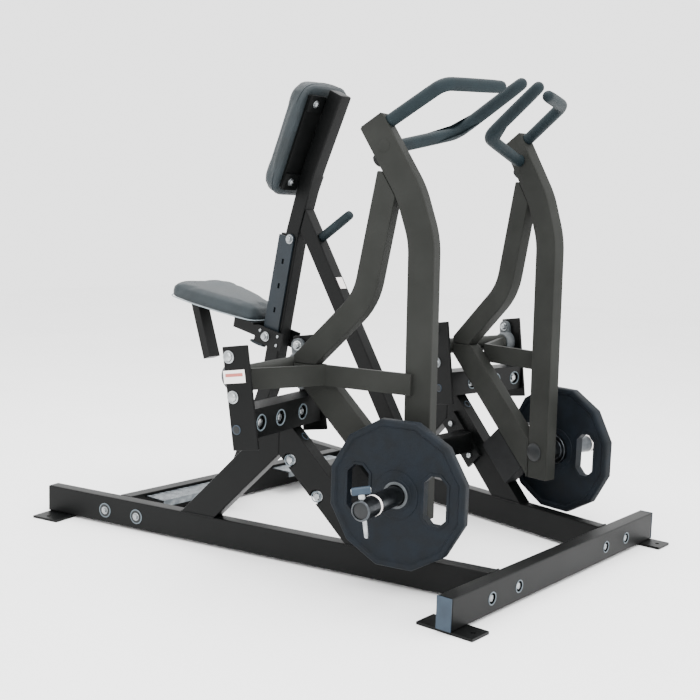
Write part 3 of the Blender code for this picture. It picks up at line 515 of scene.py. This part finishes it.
# ---- bolts, plugs and rings ------------------------------------------------------------------
def hex_bolt(radius=0.0095, height=0.0065, washer=0.014):
    """A hexagon head with its chamfer, on a washer."""
    head = turned(((0.0016, radius), (0.0016 + height * 0.8, radius), (0.0016 + height, radius * 0.86)), 6)
    apply(head, "BEVEL", width=0.0004, segments=2, limit_method="ANGLE")
    disc = turned(((0, washer), (0.0012, washer), (0.0016, washer - 0.0004)), 36)
    mark = turned(((height, radius * 0.55), (height + 0.0019, radius * 0.55),
                   (height + 0.0022, radius * 0.48)), 24)
    bolt = joined([head, disc, mark])
    smooth(bolt, 32)
    return bolt


def dome_bolt(radius=0.0115):
    """A domed head on a washer."""
    bolt = turned(((0, radius + 0.004), (0.0016, radius + 0.004), (0.0020, radius + 0.0035), (0.0021, radius),
                   (0.0040, radius), (0.0066, radius * 0.82), (0.0084, radius * 0.50),
                   (0.0090, radius * 0.15)), 40)
    smooth(bolt, 40)
    return bolt


def ring(radius, wall=0.0016, height=0.0012):
    """A thin raised rim round a hole."""
    nothing()
    bpy.ops.mesh.primitive_torus_add(
        major_radius=radius, minor_radius=wall, major_segments=48, minor_segments=10)
    piece = bpy.context.active_object
    editing(piece)
    bpy.ops.mesh.select_all(action="SELECT")
    bpy.ops.transform.resize(value=(1, 1, height / wall), center_override=(0, 0, 0))
    done_editing()
    smooth(piece, 60)
    return piece


def put(pattern, name, origin, axis, look, body, turn=0.0):
    piece = copied(pattern)
    placed(piece, along_axis(origin, axis) @ Matrix.Rotation(turn, 4, "Z"))
    return finished(piece, name, look, body)


def bolt(pattern, name, origin, axis, turn=0.0):
    return put(pattern, name, origin, axis, ZINC, "frame", turn)


def insert(pattern, name, origin, axis, look):
    return put(pattern, name, origin, axis, look, "frame")


def fasteners():
    hexagon, dome, small = hex_bolt(), dome_bolt(), hex_bolt(0.0075, 0.005, 0.011)
    rim, wide_rim, nut = ring(0.0145), ring(0.0190, 0.0018, 0.0014), hex_bolt(0.0090, 0.0080, 0.013)
    cup = turned(((0, 0.0185), (0.0006, 0.0185), (0.0006, 0.0150)), 40)
    plug_rim, leg_rim = ring(0.0105, 0.0014, 0.0012), ring(0.0100, 0.0012, 0.001)
    narrow_rim = ring(0.0130, 0.0015, 0.0012)
    for side, tag in SIDES:
        for i, y in enumerate(RAIL_BOLTS_Y):
            place = Vector((MIDDLE_X, side * y, RAIL_BOLTS_Z))
            bolt(hexagon, f"{tag}_rail_bolt_{i}", place - Vector((RECESS, 0, 0)), (1, 0, 0), 0.3 * i)
            insert(rim, f"{tag}_rail_bolt_rim_{i}", place, (1, 0, 0), RIM)
        for i, u in enumerate(BASE_BOLTS_U):
            place = at(side, u, RAIL_V + TUBE_T / 2, BASE_BOLTS_Z)
            insert(cup, f"{tag}_base_bolt_cup_{i}", place, outward(side), BLACK_PLASTIC)
            insert(wide_rim, f"{tag}_base_bolt_rim_{i}", place, outward(side), RIM)
            bolt(small, f"{tag}_base_bolt_{i}", place + outward(side) * 0.0005, outward(side), 0.5 * i)
        for i, (u, z) in enumerate(LEG_BOLTS):
            place = at(side, u, RAIL_V + TUBE_T / 2, z)
            insert(narrow_rim, f"{tag}_leg_bolt_rim_{i}", place, outward(side), RIM)
            bolt(hexagon, f"{tag}_leg_bolt_{i}", place - outward(side) * RECESS, outward(side), 0.2)
            inner = at(side, u, RAIL_V - TUBE_T / 2 - 0.0088, z)
            bolt(nut, f"{tag}_leg_nut_{i}", inner, -outward(side), 0.4)
        for i, v in enumerate(BEAM_BOLTS_V):
            place = at(side, BEAM_U1, v, (BEAM_Z0 + BEAM_Z1) / 2)
            insert(wide_rim, f"{tag}_beam_bolt_rim_{i}", place, forward(side), RIM)
            bolt(hexagon, f"{tag}_beam_bolt_{i}", place - forward(side) * RECESS, forward(side), 0.1 * i)
        up = (Vector(BRACKET_TOP) - Vector(BRACKET_BOTTOM)).normalized()
        for i, reach in enumerate((BEARING_BOLT, -BEARING_BOLT)):
            spot = Vector(PIVOT) + up * reach
            for word, v, way, pattern, turn in (
                    ("bracket_bolt", BRACKET_V_OUT + PLATE_T, 1, dome, 0.0),
                    ("inner_bracket_bolt", BRACKET_V_IN, -1, dome, 0.0),
                    ("bearing_nut", BRACKET_V_OUT - NUT_OFF, -1, nut, 0.2),
                    ("inner_bearing_nut", BRACKET_V_IN + PLATE_T + NUT_OFF, 1, nut, 0.3)):
                bolt(pattern, f"{tag}_{word}_{i}", at(side, spot.x, v, spot.y), outward(side) * way, turn)
        spot = Vector(PIVOT) - up * BRACKET_PLUG
        for word, v, way in (("outer", BRACKET_V_OUT + PLATE_T, 1), ("inner", BRACKET_V_IN, -1)):
            place = at(side, spot.x, v, spot.y)
            insert(plug_rim, f"{tag}_{word}_plug_rim", place, outward(side) * way, CAP)
            plug = turned(((0, 0.0100), (0.0008, 0.0100), (0.0016, 0.0070)), 36)
            placed(plug, along_axis(place, outward(side) * way))
            finished(plug, f"{tag}_{word}_plug", BLACK_PLASTIC, "frame")
        leg_face = at(side, LEG_HOLE[0], RAIL_V, LEG_HOLE[1])
        insert(leg_rim, f"{tag}_leg_hole_rim", leg_face, side_way(side, 1, 1), CAP)
    pads = pad_frame()
    face = -PAD_T / 2 - GAP - BOARD_T - 0.009
    for a in (-PAD_BOLT_A, PAD_BOLT_A):
        for side, tag in SIDES:
            word = "upper" if a > 0 else "lower"
            spot = pads @ Vector((a, side * PAD_BOLT_Y, face))
            bolt(small, f"{tag}_{word}_pad_bolt", spot, pads.to_3x3() @ Vector((0, 0, -1)), 0.3)
    seat = seat_frame()
    for side, tag in SIDES:
        y = side * (POST_T / 2 + GAP + GUIDE_T)
        top = seat @ Vector((0.000, y - side * 0.0049, GUIDE_TOP - SEAT_Z - 0.006))
        boss = turned(((0, 0.0165), (0.0040, 0.0165), (0.0048, 0.0157)), 44)
        smooth(boss)
        placed(boss, along_axis(top, (0, side, 0)))
        finished(boss, f"{tag}_guide_boss", BLUE_BLACK, "frame")
        bolt(hexagon, f"{tag}_guide_bolt", top + Vector((0, side * 0.0048, 0)), (0, side, 0), 0.2)
    for pattern in (hexagon, dome, small, rim, wide_rim, nut, cup, plug_rim, leg_rim, narrow_rim):
        bpy.data.objects.remove(pattern, do_unlink=True)


def arm_plugs():
    """Round plugs and bosses pressed into the arms' tubes."""
    head, knee = Vector(HEAD), Vector(KNEE)
    run = (knee - head).normalized()
    face = Vector((-run.y, run.x))
    for side, tag in SIDES:
        spot = head.lerp(knee, 0.36)
        disc = turned(((0, 0.0150), (0.0006, 0.0150), (0.0010, 0.0144)), 40)
        smooth(disc)
        placed(disc, along_axis(at(side, spot.x, ARM_V + ARM_T / 2, spot.y), outward(side)))
        finished(disc, f"{tag}_head_plug", GREY, f"{tag}_arm")
        back = head.lerp(knee, 0.44) - face * (FRONT_TUBE_W / 2)
        boss = turned(((0, 0.0165), (0.004, 0.0165), (0.008, 0.0150), (0.0105, 0.011), (0.0115, 0.004)), 40)
        smooth(boss, 50)
        placed(boss, along_axis(at(side, back.x, ARM_V, back.y), -side_way(side, face.x, face.y)))
        finished(boss, f"{tag}_head_bumper", BUMPER, f"{tag}_arm")
        dome = turned(((0, 0.0255), (0.002, 0.0255), (0.0045, 0.022), (0.0065, 0.015), (0.0072, 0.006)), 44)
        smooth(dome, 50)
        placed(dome, along_axis(at(side, HORN[0], ARM_V - ARM_T / 2, HORN[1]), -outward(side)))
        finished(dome, f"{tag}_horn_plug", BLACK_PLASTIC, f"{tag}_arm")
        top = head - run * 0.0001
        cap = block((0.034, 0.062, 0.0022), (0, 0, 0.0008), 0.0009)
        placed(cap, grid(at(side, top.x, ARM_V, top.y), outward(side), side_way(side, -run.x, -run.y)))
        finished(cap, f"{tag}_head_cap", BLACK_PLASTIC, f"{tag}_arm")


# ---- weld beads ------------------------------------------------------------------------------
def weld(name, start, end, look, body, radius=0.0030):
    points = steps_between(start, end, 0.0026)
    radii = [0.82 + 0.30 * (i % 2) for i in range(len(points))]
    radii[0] = radii[-1] = 0.5
    piece = tube(points, radius, 2, radii)
    return finished(piece, name, look, body)


def welds():
    for side, tag in SIDES:
        arm = f"{tag}_arm"
        for word, v in (("outer", ARM_V + ARM_T / 2), ("inner", ARM_V - ARM_T / 2)):
            weld(f"{tag}_{word}_weld_low", at(side, ARM_WELD_U, v, 0.172), at(side, ARM_WELD_U, v, 0.278),
                 GREY, arm)
        for v, word in ((RAIL_V + TUBE_T / 2 - 0.001, "outer"), (RAIL_V - TUBE_T / 2 + 0.001, "inner")):
            rise = LEG_W * math.sqrt(2)
            for direction, leg in ((1, "forward"), (-1, "rear")):
                start = APEX[0] + direction * (APEX[1] - RAIL_TOP)
                weld(f"{tag}_{leg}_leg_{word}_weld", at(side, start, v, RAIL_TOP + 0.0005),
                     at(side, start + direction * rise, v, RAIL_TOP + 0.0005), BLACK, "frame")
        inner = [at(side, (0 - TUBE_T - v * math.sin(SPLAY)) / math.cos(SPLAY), v, RAIL_TOP - 0.001)
                 for v in (RAIL_V - TUBE_T / 2, RAIL_V + TUBE_T / 2)]
        weld(f"{tag}_rail_corner_weld", inner[0], inner[1], BLACK, "frame")
        for v, word in ((BRACKET_V_IN + PLATE_T, "inner"), (BRACKET_V_OUT - 0.0003, "outer")):
            weld(f"{tag}_{word}_bracket_weld", at(side, BEAM_U0, v, BEAM_Z1),
                 at(side, BEAM_U1 - 0.006, v, BEAM_Z1), BLACK, "frame")
    for y in (-POST_T / 2, POST_T / 2):
        word = "right" if y < 0 else "left"
        weld(f"{word}_post_foot_weld", Vector((MIDDLE_X - 1.188, y, RAIL_TOP + 0.0005)),
             Vector((MIDDLE_X - 1.141, y, RAIL_TOP + 0.0005)), BLACK, "frame")


# ---- weights ---------------------------------------------------------------------------------
def octagon(width, height):
    w, h = width / 2, height / 2
    c = w * 0.62
    return [(-w, -h + c), (-w + c, -h), (w - c, -h), (w, -h + c),
            (w, h - c), (w - c, h), (-w + c, h), (-w, h - c)]


def disc_pattern():
    """A twelve-sided rubber disc: raised rim, hub rings and two hand holes with lips."""
    thick = DISC_V1 - DISC_V0
    corners = [(DISC_R * math.cos(math.radians(15 + 30 * i)), DISC_R * math.sin(math.radians(15 + 30 * i)))
               for i in range(12)]
    disc = drawn(corners, 0, thick)
    editing(disc)
    bpy.ops.mesh.select_all(action="DESELECT")
    done_editing()
    for face in disc.data.polygons:
        face.select = abs(face.normal.z) > 0.9
    for edge in disc.data.edges:
        edge.select = False
    editing(disc)
    bpy.ops.mesh.inset(thickness=0.0135, depth=0)
    bpy.ops.mesh.inset(thickness=0.0050, depth=-0.0042)
    done_editing()
    apply(disc, "BEVEL", width=0.0062, segments=4, limit_method="ANGLE", angle_limit=math.radians(55))
    extras = []
    for radius, height in ((0.058, 0.0022), (0.040, 0.0030)):
        for base, way in ((thick - 0.0042, 1), (0.0042, -1)):
            hub = turned(((-0.002, radius), (height - 0.0008, radius), (height, radius - 0.0012)), 72)
            placed(hub, along_axis((0, 0, base), (0, 0, way)))
            extras.append(hub)
    for offset in (-HAND_HOLE_U, HAND_HOLE_U):
        rim = octagon(HAND_HOLE_W + 0.014, HAND_HOLE_H + 0.014)
        lip = drawn([(x + offset, y) for x, y in rim], 0.0022, thick - 0.0022)
        apply(lip, "BEVEL", width=0.0016, segments=2, limit_method="ANGLE", angle_limit=math.radians(60))
        extras.append(lip)
    for extra in extras:
        apply(disc, "BOOLEAN", operation="UNION", solver="EXACT", object=extra)
        bpy.data.objects.remove(extra, do_unlink=True)
    for offset in (-HAND_HOLE_U, HAND_HOLE_U):
        hole = drawn([(x + offset, y) for x, y in octagon(HAND_HOLE_W, HAND_HOLE_H)], -0.01, thick + 0.01)
        cut_with(disc, hole)
    bore = turned(((-0.01, DISC_BORE_R + 0.0012), (thick + 0.01, DISC_BORE_R + 0.0012)), 64)
    cut_with(disc, bore)
    smooth(disc, 32)
    return disc


def weights():
    disc = disc_pattern()
    for side, tag in SIDES:
        place = grid(at(side, HORN[0], DISC_V0, HORN[1]), forward(side), outward(side))
        piece = copied(disc)
        placed(piece, place)
        finished(piece, f"{tag}_disc_rubber", DISC, f"{tag}_disc", (f"{tag}_weight_disc",))
        for word, base, way in (("outer", DISC_V1 - DISC_V0 - 0.0030, 1), ("inner", 0.0030, -1)):
            liner = turned(((0, 0.0325), (0.0022, 0.0325), (0.0030, 0.0315), (0.0032, 0.0285)), 64)
            hole = turned(((-0.01, DISC_BORE_R + 0.0006), (0.02, DISC_BORE_R + 0.0006)), 64)
            cut_with(liner, hole)
            smooth(liner)
            placed(liner, place @ along_axis((0, 0, base), (0, 0, way)))
            finished(liner, f"{tag}_{word}_hub_liner", IRON, f"{tag}_disc")
    bpy.data.objects.remove(disc, do_unlink=True)


def sleeve(side, tag):
    """The dark steel weight sleeve with its shoulder, rimmed end and domed end plug."""
    v0 = ARM_V + ARM_T / 2 + GAP
    stop, length = DISC_V0 - GAP - v0, HORN_V1 - v0
    bar = turned(((0, 0.030), (stop - 0.013, 0.030), (stop - 0.012, 0.031), (stop - 0.012, STOP_R - 0.001),
                  (stop - 0.011, STOP_R), (stop - 0.001, STOP_R), (stop, STOP_R - 0.001),
                  (stop, HORN_R - 0.0006),
                  (length - 0.0022, HORN_R - 0.0006), (length, HORN_R - 0.0026),
                  (length, HORN_R - 0.0052),
                  (length - 0.0030, HORN_R - 0.0056)), 56)
    middle, up, _ = pin_frame(side)
    place = along_axis(at(side, HORN[0], v0, HORN[1]), outward(side))
    placed(bar, place)
    hole = turned(((-0.04, 0.0061), (0.04, 0.0061)), 32)
    placed(hole, along_axis(middle, up))
    cut_with(bar, hole)
    smooth(bar, 35)
    finished(bar, f"{tag}_sleeve", DARK_STEEL, f"{tag}_arm", (f"{tag}_horn",))
    plug = turned(((length - 0.0036, HORN_R - 0.0058), (length - 0.0022, HORN_R - 0.0058),
                   (length - 0.0016, 0.0165),
                   (length - 0.0008, 0.0130), (length - 0.0003, 0.0080), (length - 0.0001, 0.0030)), 48)
    smooth(plug, 60)
    placed(plug, place)
    finished(plug, f"{tag}_sleeve_plug", BLACK_PLASTIC, f"{tag}_arm")
    band = turned(((0, HORN_R + 0.0001), (0.007, HORN_R + 0.0001)), 56)
    smooth(band)
    placed(band, along_axis(at(side, HORN[0], 0.452, HORN[1]), outward(side)))
    finished(band, f"{tag}_sleeve_band", LABEL, f"{tag}_arm")


def pin_frame(side):
    middle = at(side, HORN[0], PIN_V, HORN[1])
    up = Vector((0, 0, 1)) * math.cos(PIN_LEAN) - forward(side) * math.sin(PIN_LEAN)
    across = up.cross(outward(side)).normalized()
    if across.dot(forward(side)) < 0:
        across = -across
    return middle, up, (across * math.cos(HANDLE_TURN) - outward(side) * math.sin(HANDLE_TURN)).normalized()


def lock_pins():
    """The T-handled pin through the sleeve's end: zinc shank, plastic handle."""
    for side, tag in SIDES:
        middle, up, across = pin_frame(side)
        shank = turned(((-PIN_DOWN, 0.0030), (-PIN_DOWN + 0.003, PIN_R), (HORN_R + 0.0004, PIN_R),
                        (HORN_R + 0.0008, 0.0078),
                        (PIN_UP + 0.001, 0.0078)), 32)
        smooth(shank, 40)
        placed(shank, along_axis(middle, up))
        finished(shank, f"{tag}_pin_shank", ZINC, f"{tag}_pin", (f"{tag}_lock_pin",))
        handle = block((HANDLE_L, HANDLE_H, HANDLE_H), (0, 0, HANDLE_H / 2), 0.0035, 4)
        placed(handle, grid(middle + up * PIN_UP, across, up))
        finished(handle, f"{tag}_pin_handle", CAP, f"{tag}_pin")
        for word, way in (("front", 1), ("rear", -1)):
            button = turned(((0, 0.0062), (0.0006, 0.0062), (0.0009, 0.0055)), 28)
            smooth(button)
            end = middle + up * (PIN_UP + HANDLE_H / 2) + across * way * HANDLE_L / 2
            placed(button, along_axis(end, across * way))
            finished(button, f"{tag}_pin_handle_{word}_end", ZINC, f"{tag}_pin")


# ---- foot plates and stickers ----------------------------------------------------------------
def foot_plates():
    """Tread plates: each a folded sheet with raised lugs in alternating directions."""
    x0, x1 = CROSS_X + TUBE_T / 2 + GAP + MIDDLE_X, FOOTPLATE_X1 + MIDDLE_X
    for side, tag in SIDES:
        refined(f"{tag}_footplate", TREAD)
        lugs = []
        pattern = block((0.0125, 0.0034, 0.0016), (0, 0, 0), 0.0012, 2)
        rows, columns = 6, 24
        for i in range(rows):
            for j in range(columns):
                x = x0 + (x1 - x0) * (i + 0.5) / rows
                y = side * (0.120 + 0.280 * (j + 0.5) / columns)
                lug = copied(pattern)
                angle = math.radians(45 if (i + j) % 2 else -45)
                spot = Matrix.Translation((x, y, FOOTPLATE_TOP + GAP))
                placed(lug, spot @ Matrix.Rotation(angle, 4, "Z"))
                lugs.append(lug)
        bpy.data.objects.remove(pattern, do_unlink=True)
        finished(joined(lugs), f"{tag}_tread_lugs", TREAD, "frame")


def sticker(name, place, width, height, look=LABEL, body="frame", raised=0.0):
    sheet = block((width, height, 0.0004), (0, 0, 0.0002 + raised), 0.0001, 1)
    placed(sheet, place)
    return finished(sheet, name, look, body)


def stickers():
    """Plain bands where stickers sit, with nothing written on them."""
    up = (Vector(BRACKET_TOP) - Vector(BRACKET_BOTTOM)).normalized()
    for side, tag in SIDES:
        spot = Vector((-0.670, 0.511))
        middle = at(side, spot.x, BRACKET_V_OUT + PLATE_T, spot.y)
        place = grid(middle, side_way(side, up.y, -up.x), outward(side))
        sticker(f"{tag}_bracket_sticker", place, 0.062, 0.031)
        bar = place @ Matrix.Translation((0, 0.004, 0.0004))
        sticker(f"{tag}_bracket_sticker_bar", bar, 0.050, 0.008, LABEL_BAR)
    run = (Vector(BRACE_FOOT) - Vector(BRACE_TOP)).normalized()
    face = Vector((-run.y, run.x)) if run.y < 0 else Vector((run.y, -run.x))
    spot = Vector(BRACE_TOP) + run * 0.262 + face * (BRACE_W / 2)
    place = grid((spot.x + MIDDLE_X, 0.000, spot.y), (0, 1, 0), (face.x, 0, face.y))
    sticker("brace_sticker", place, 0.026, 0.036)


# ---- pads ------------------------------------------------------------------------------------
def rounded_corners(points, radius, steps=7):
    """A closed outline with each corner replaced by an arc."""
    out = []
    for i, corner in enumerate(points):
        before, after = Vector(points[i - 1]), Vector(points[(i + 1) % len(points)])
        corner = Vector(corner)
        a, b = before - corner, after - corner
        reach = min(radius, 0.45 * a.length, 0.45 * b.length)
        start, end = corner + a.normalized() * reach, corner + b.normalized() * reach
        for k in range(steps + 1):
            t = k / steps
            out.append((1 - t) ** 2 * start + 2 * t * (1 - t) * corner + t * t * end)
    return [(p.x, p.y) for p in out]


def swollen(pad, cap, floor_z, voxel=0.0055, pressure=4.0):
    """Stuffs a pad: an even skin is blown up a little by pressure, held at its board side."""
    apply(pad, "REMESH", mode="VOXEL", voxel_size=voxel)
    before = [v.co.copy() for v in pad.data.vertices]
    held = pad.vertex_groups.new(name="board_side")
    held.add([v.index for v in pad.data.vertices if v.co.z < floor_z + 0.010], 1.0, "REPLACE")
    cloth = pad.modifiers.new("stuffing", "CLOTH")
    cloth.settings.vertex_group_mass = held.name
    cloth.settings.use_pressure = True
    cloth.settings.uniform_pressure_force = pressure
    cloth.settings.quality = 5
    cloth.settings.tension_stiffness = cloth.settings.compression_stiffness = 12
    cloth.settings.bending_stiffness = 1.5
    cloth.settings.effector_weights.gravity = 0
    cloth.collision_settings.use_collision = False
    cloth.point_cache.frame_start, cloth.point_cache.frame_end = 1, 20
    scene = bpy.context.scene
    for step in range(1, 21):
        scene.frame_set(step)
    blown = pad.evaluated_get(bpy.context.evaluated_depsgraph_get()).data
    after = [v.co.copy() for v in blown.vertices]
    pad.modifiers.remove(cloth)
    for vertex, a, b in zip(pad.data.vertices, before, after):
        move = b - a
        if move.length > cap:
            move *= cap / move.length
        vertex.co = a + move
    scene.frame_set(1)
    pad.vertex_groups.clear()


def crowned(pad, crown, top_z, half_x, half_y, centre=(0, 0)):
    """Lifts the middle of the top face in a shallow dome."""
    for vertex in pad.data.vertices:
        if vertex.co.z > 0:
            x, y = (vertex.co.x - centre[0]) / half_x, (vertex.co.y - centre[1]) / half_y
            share = max(0.0, 1 - x ** 4) * max(0.0, 1 - y ** 4)
            vertex.co.z += crown * share * min(1.0, max(0.0, vertex.co.z / top_z))


def make_pad(outline, z0, z1, edge):
    pad = drawn(outline, z0, z1)
    apply(pad, "BEVEL", width=edge, segments=5, limit_method="ANGLE", angle_limit=math.radians(60))
    return pad


def chest_pad():
    half_l, half_w = PAD_L / 2 - 0.003, PAD_W / 2 - 0.003
    corners = [(-half_l, -half_w), (half_l, -half_w), (half_l, half_w), (-half_l, half_w)]
    outline = rounded_corners(corners, 0.062, 9)
    pad = make_pad(outline, -PAD_T / 2, PAD_T / 2 - 0.004, 0.011)
    swollen(pad, 0.006, -PAD_T / 2)
    apply(pad, "SMOOTH", factor=0.5, iterations=4)
    crowned(pad, 0.005, PAD_T / 2, half_l, half_w)
    pinch(pad, outline, -PAD_T / 2 + 0.013, 0.0035, 0.0016)
    apply(pad, "SUBSURF", levels=1, render_levels=1)
    smooth(pad, 180)
    placed(pad, pad_frame())
    finished(pad, "chest_pad_cushion", VINYL, "frame", ("chest_pad",))
    seam = tube([(x, y, 0) for x, y in outline] + [(*outline[0], 0)], 0.0016, 3)
    seam_place = Matrix.Translation((0, 0, -PAD_T / 2 + 0.0130)) @ Matrix.Diagonal((0.992, 0.988, 1, 1))
    placed(seam, pad_frame() @ seam_place)
    finished(seam, "chest_pad_piping", VINYL, "frame")


def pinch(pad, outline, z, reach, depth):
    """Draws the sides in along a seam line at height z."""
    middle = Vector((sum(x for x, _ in outline) / len(outline), 0))
    for vertex in pad.data.vertices:
        near = math.exp(-((vertex.co.z - z) / reach) ** 2)
        away = Vector((vertex.co.x, vertex.co.y)) - middle
        if away.length > 0.02 and abs(vertex.normal.z) < 0.7:
            away.normalize()
            vertex.co.x -= away.x * depth * near
            vertex.co.y -= away.y * depth * near


def seat_pad():
    base = SEAT_PAD_TOP - SEAT_PAD_T
    points = [(a, -w) for a, w in SEAT_OUTLINE] + [(a, w) for a, w in reversed(SEAT_OUTLINE)]
    middle = (SEAT_OUTLINE[0][0] + SEAT_OUTLINE[-1][0]) / 2
    points = [(middle + (a - middle) * 0.985, y * 0.975) for a, y in points]
    outline = rounded_corners(points, 0.030, 6)
    pad = make_pad([(x - middle, y) for x, y in outline], 0, SEAT_PAD_T - 0.004, 0.009)
    swollen(pad, 0.005, 0)
    apply(pad, "SMOOTH", factor=0.5, iterations=4)
    crowned(pad, 0.004, SEAT_PAD_T, 0.163, 0.120)
    pinch(pad, [(x - middle, y) for x, y in outline], 0.010, 0.0030, 0.0014)
    apply(pad, "SUBSURF", levels=1, render_levels=1)
    smooth(pad, 180)
    place = seat_frame() @ Matrix.Translation((middle, 0, base))
    placed(pad, place)
    finished(pad, "seat_cushion", VINYL, "seat", ("seat_pad",))
    rim = [((x - middle) * 1.006, y * 1.012, 0) for x, y in outline]
    seam = tube(rim + [rim[0]], 0.0018, 3)
    placed(seam, place @ Matrix.Translation((0, 0, 0.0022)))
    finished(seam, "seat_piping", PIPING, "seat")
    roller = turned(((0, 0.0148), (0.0015, 0.0148), (0.0020, 0.0130), (0.0060, 0.0130), (0.0075, 0.0115),
                     (0.0078, 0.0085),
                     (0.0125, 0.0085), (0.0135, 0.0070), (0.0138, 0.0030)), 48)
    smooth(roller, 35)
    placed(roller, along_axis(seat_frame() @ Vector((-0.018, -0.0403, -0.002)), (0, -1, 0)))
    finished(roller, "seat_roller", ZINC, "seat", ("seat_roller_bolt",))
    for i, (a, n) in enumerate(((0.030, 0.012), (0.030, -0.016), (-0.044, 0.010))):
        for side, tag in SIDES:
            head = turned(((0, 0.0050), (0.0015, 0.0050), (0.0028, 0.0040), (0.0033, 0.0015)), 24)
            smooth(head, 50)
            placed(head, along_axis(seat_frame() @ Vector((a, side * 0.0400, n)), (0, side, 0)))
            finished(head, f"{tag}_carriage_screw_{i}", ZINC, "seat")


# ---- room ------------------------------------------------------------------------------------
def room():
    """A flat pale floor, soft lights and the camera."""
    nothing()
    bpy.ops.mesh.primitive_plane_add(size=16, location=(0, 0, -0.0005))
    floor = bpy.context.active_object
    floor.name = "studio_floor"
    made, tree, shader, place = new_material("painted_studio_floor", "#fbfbfb", 0.7)
    mottled(tree, shader, place, "#fafafa", "#fdfdfd", 2.0)
    floor.data.materials.append(made)
    world = bpy.context.scene.world or bpy.data.worlds.new("studio")
    bpy.context.scene.world = world
    world.use_nodes = True
    back = world.node_tree.nodes["Background"]
    back.inputs["Color"].default_value = rgb("#ffffff")
    back.inputs["Strength"].default_value = 2.6
    for name, place, target, size, power in (
            ("key", (2.2, -2.6, 3.2), (0, 0, 0.6), 2.4, 120),
            ("top", (-0.3, 0.0, 3.6), (0, 0, 0.5), 3.0, 160),
            ("fill", (3.4, 1.6, 2.0), (0, 0, 0.6), 2.6, 50)):
        lamp = bpy.data.lights.new(name, "AREA")
        lamp.size, lamp.energy = size, power
        light = bpy.data.objects.new(name, lamp)
        bpy.context.scene.collection.objects.link(light)
        light.location = place
        light.rotation_euler = (Vector(target) - Vector(place)).to_track_quat("-Z", "Y").to_euler()
    yaw, pitch, roll = math.radians(129.81), math.radians(7.10), math.radians(1.8146)
    look = Vector((math.cos(pitch) * math.cos(yaw), math.cos(pitch) * math.sin(yaw), -math.sin(pitch)))
    level = look.cross(Vector((0, 0, 1))).normalized()
    upright = level.cross(look)
    across = level * math.cos(roll) + upright * math.sin(roll)
    upward = upright * math.cos(roll) - level * math.sin(roll)
    lens = bpy.data.cameras.new("studio_camera")
    lens.lens, lens.sensor_width, lens.clip_end = 56.57, 36.0, 50
    camera = bpy.data.objects.new("studio_camera", lens)
    bpy.context.scene.collection.objects.link(camera)
    view = Matrix((across, upward, -look)).transposed().to_4x4()
    view.translation = Vector((1.285 + MIDDLE_X, -2.413, 0.903))
    camera.matrix_world = view
    bpy.context.scene.camera = camera


refine_frame()
fasteners()
arm_plugs()
welds()
weights()
for side, tag in SIDES:
    sleeve(side, tag)
lock_pins()
foot_plates()
stickers()
chest_pad()
seat_pad()
room()
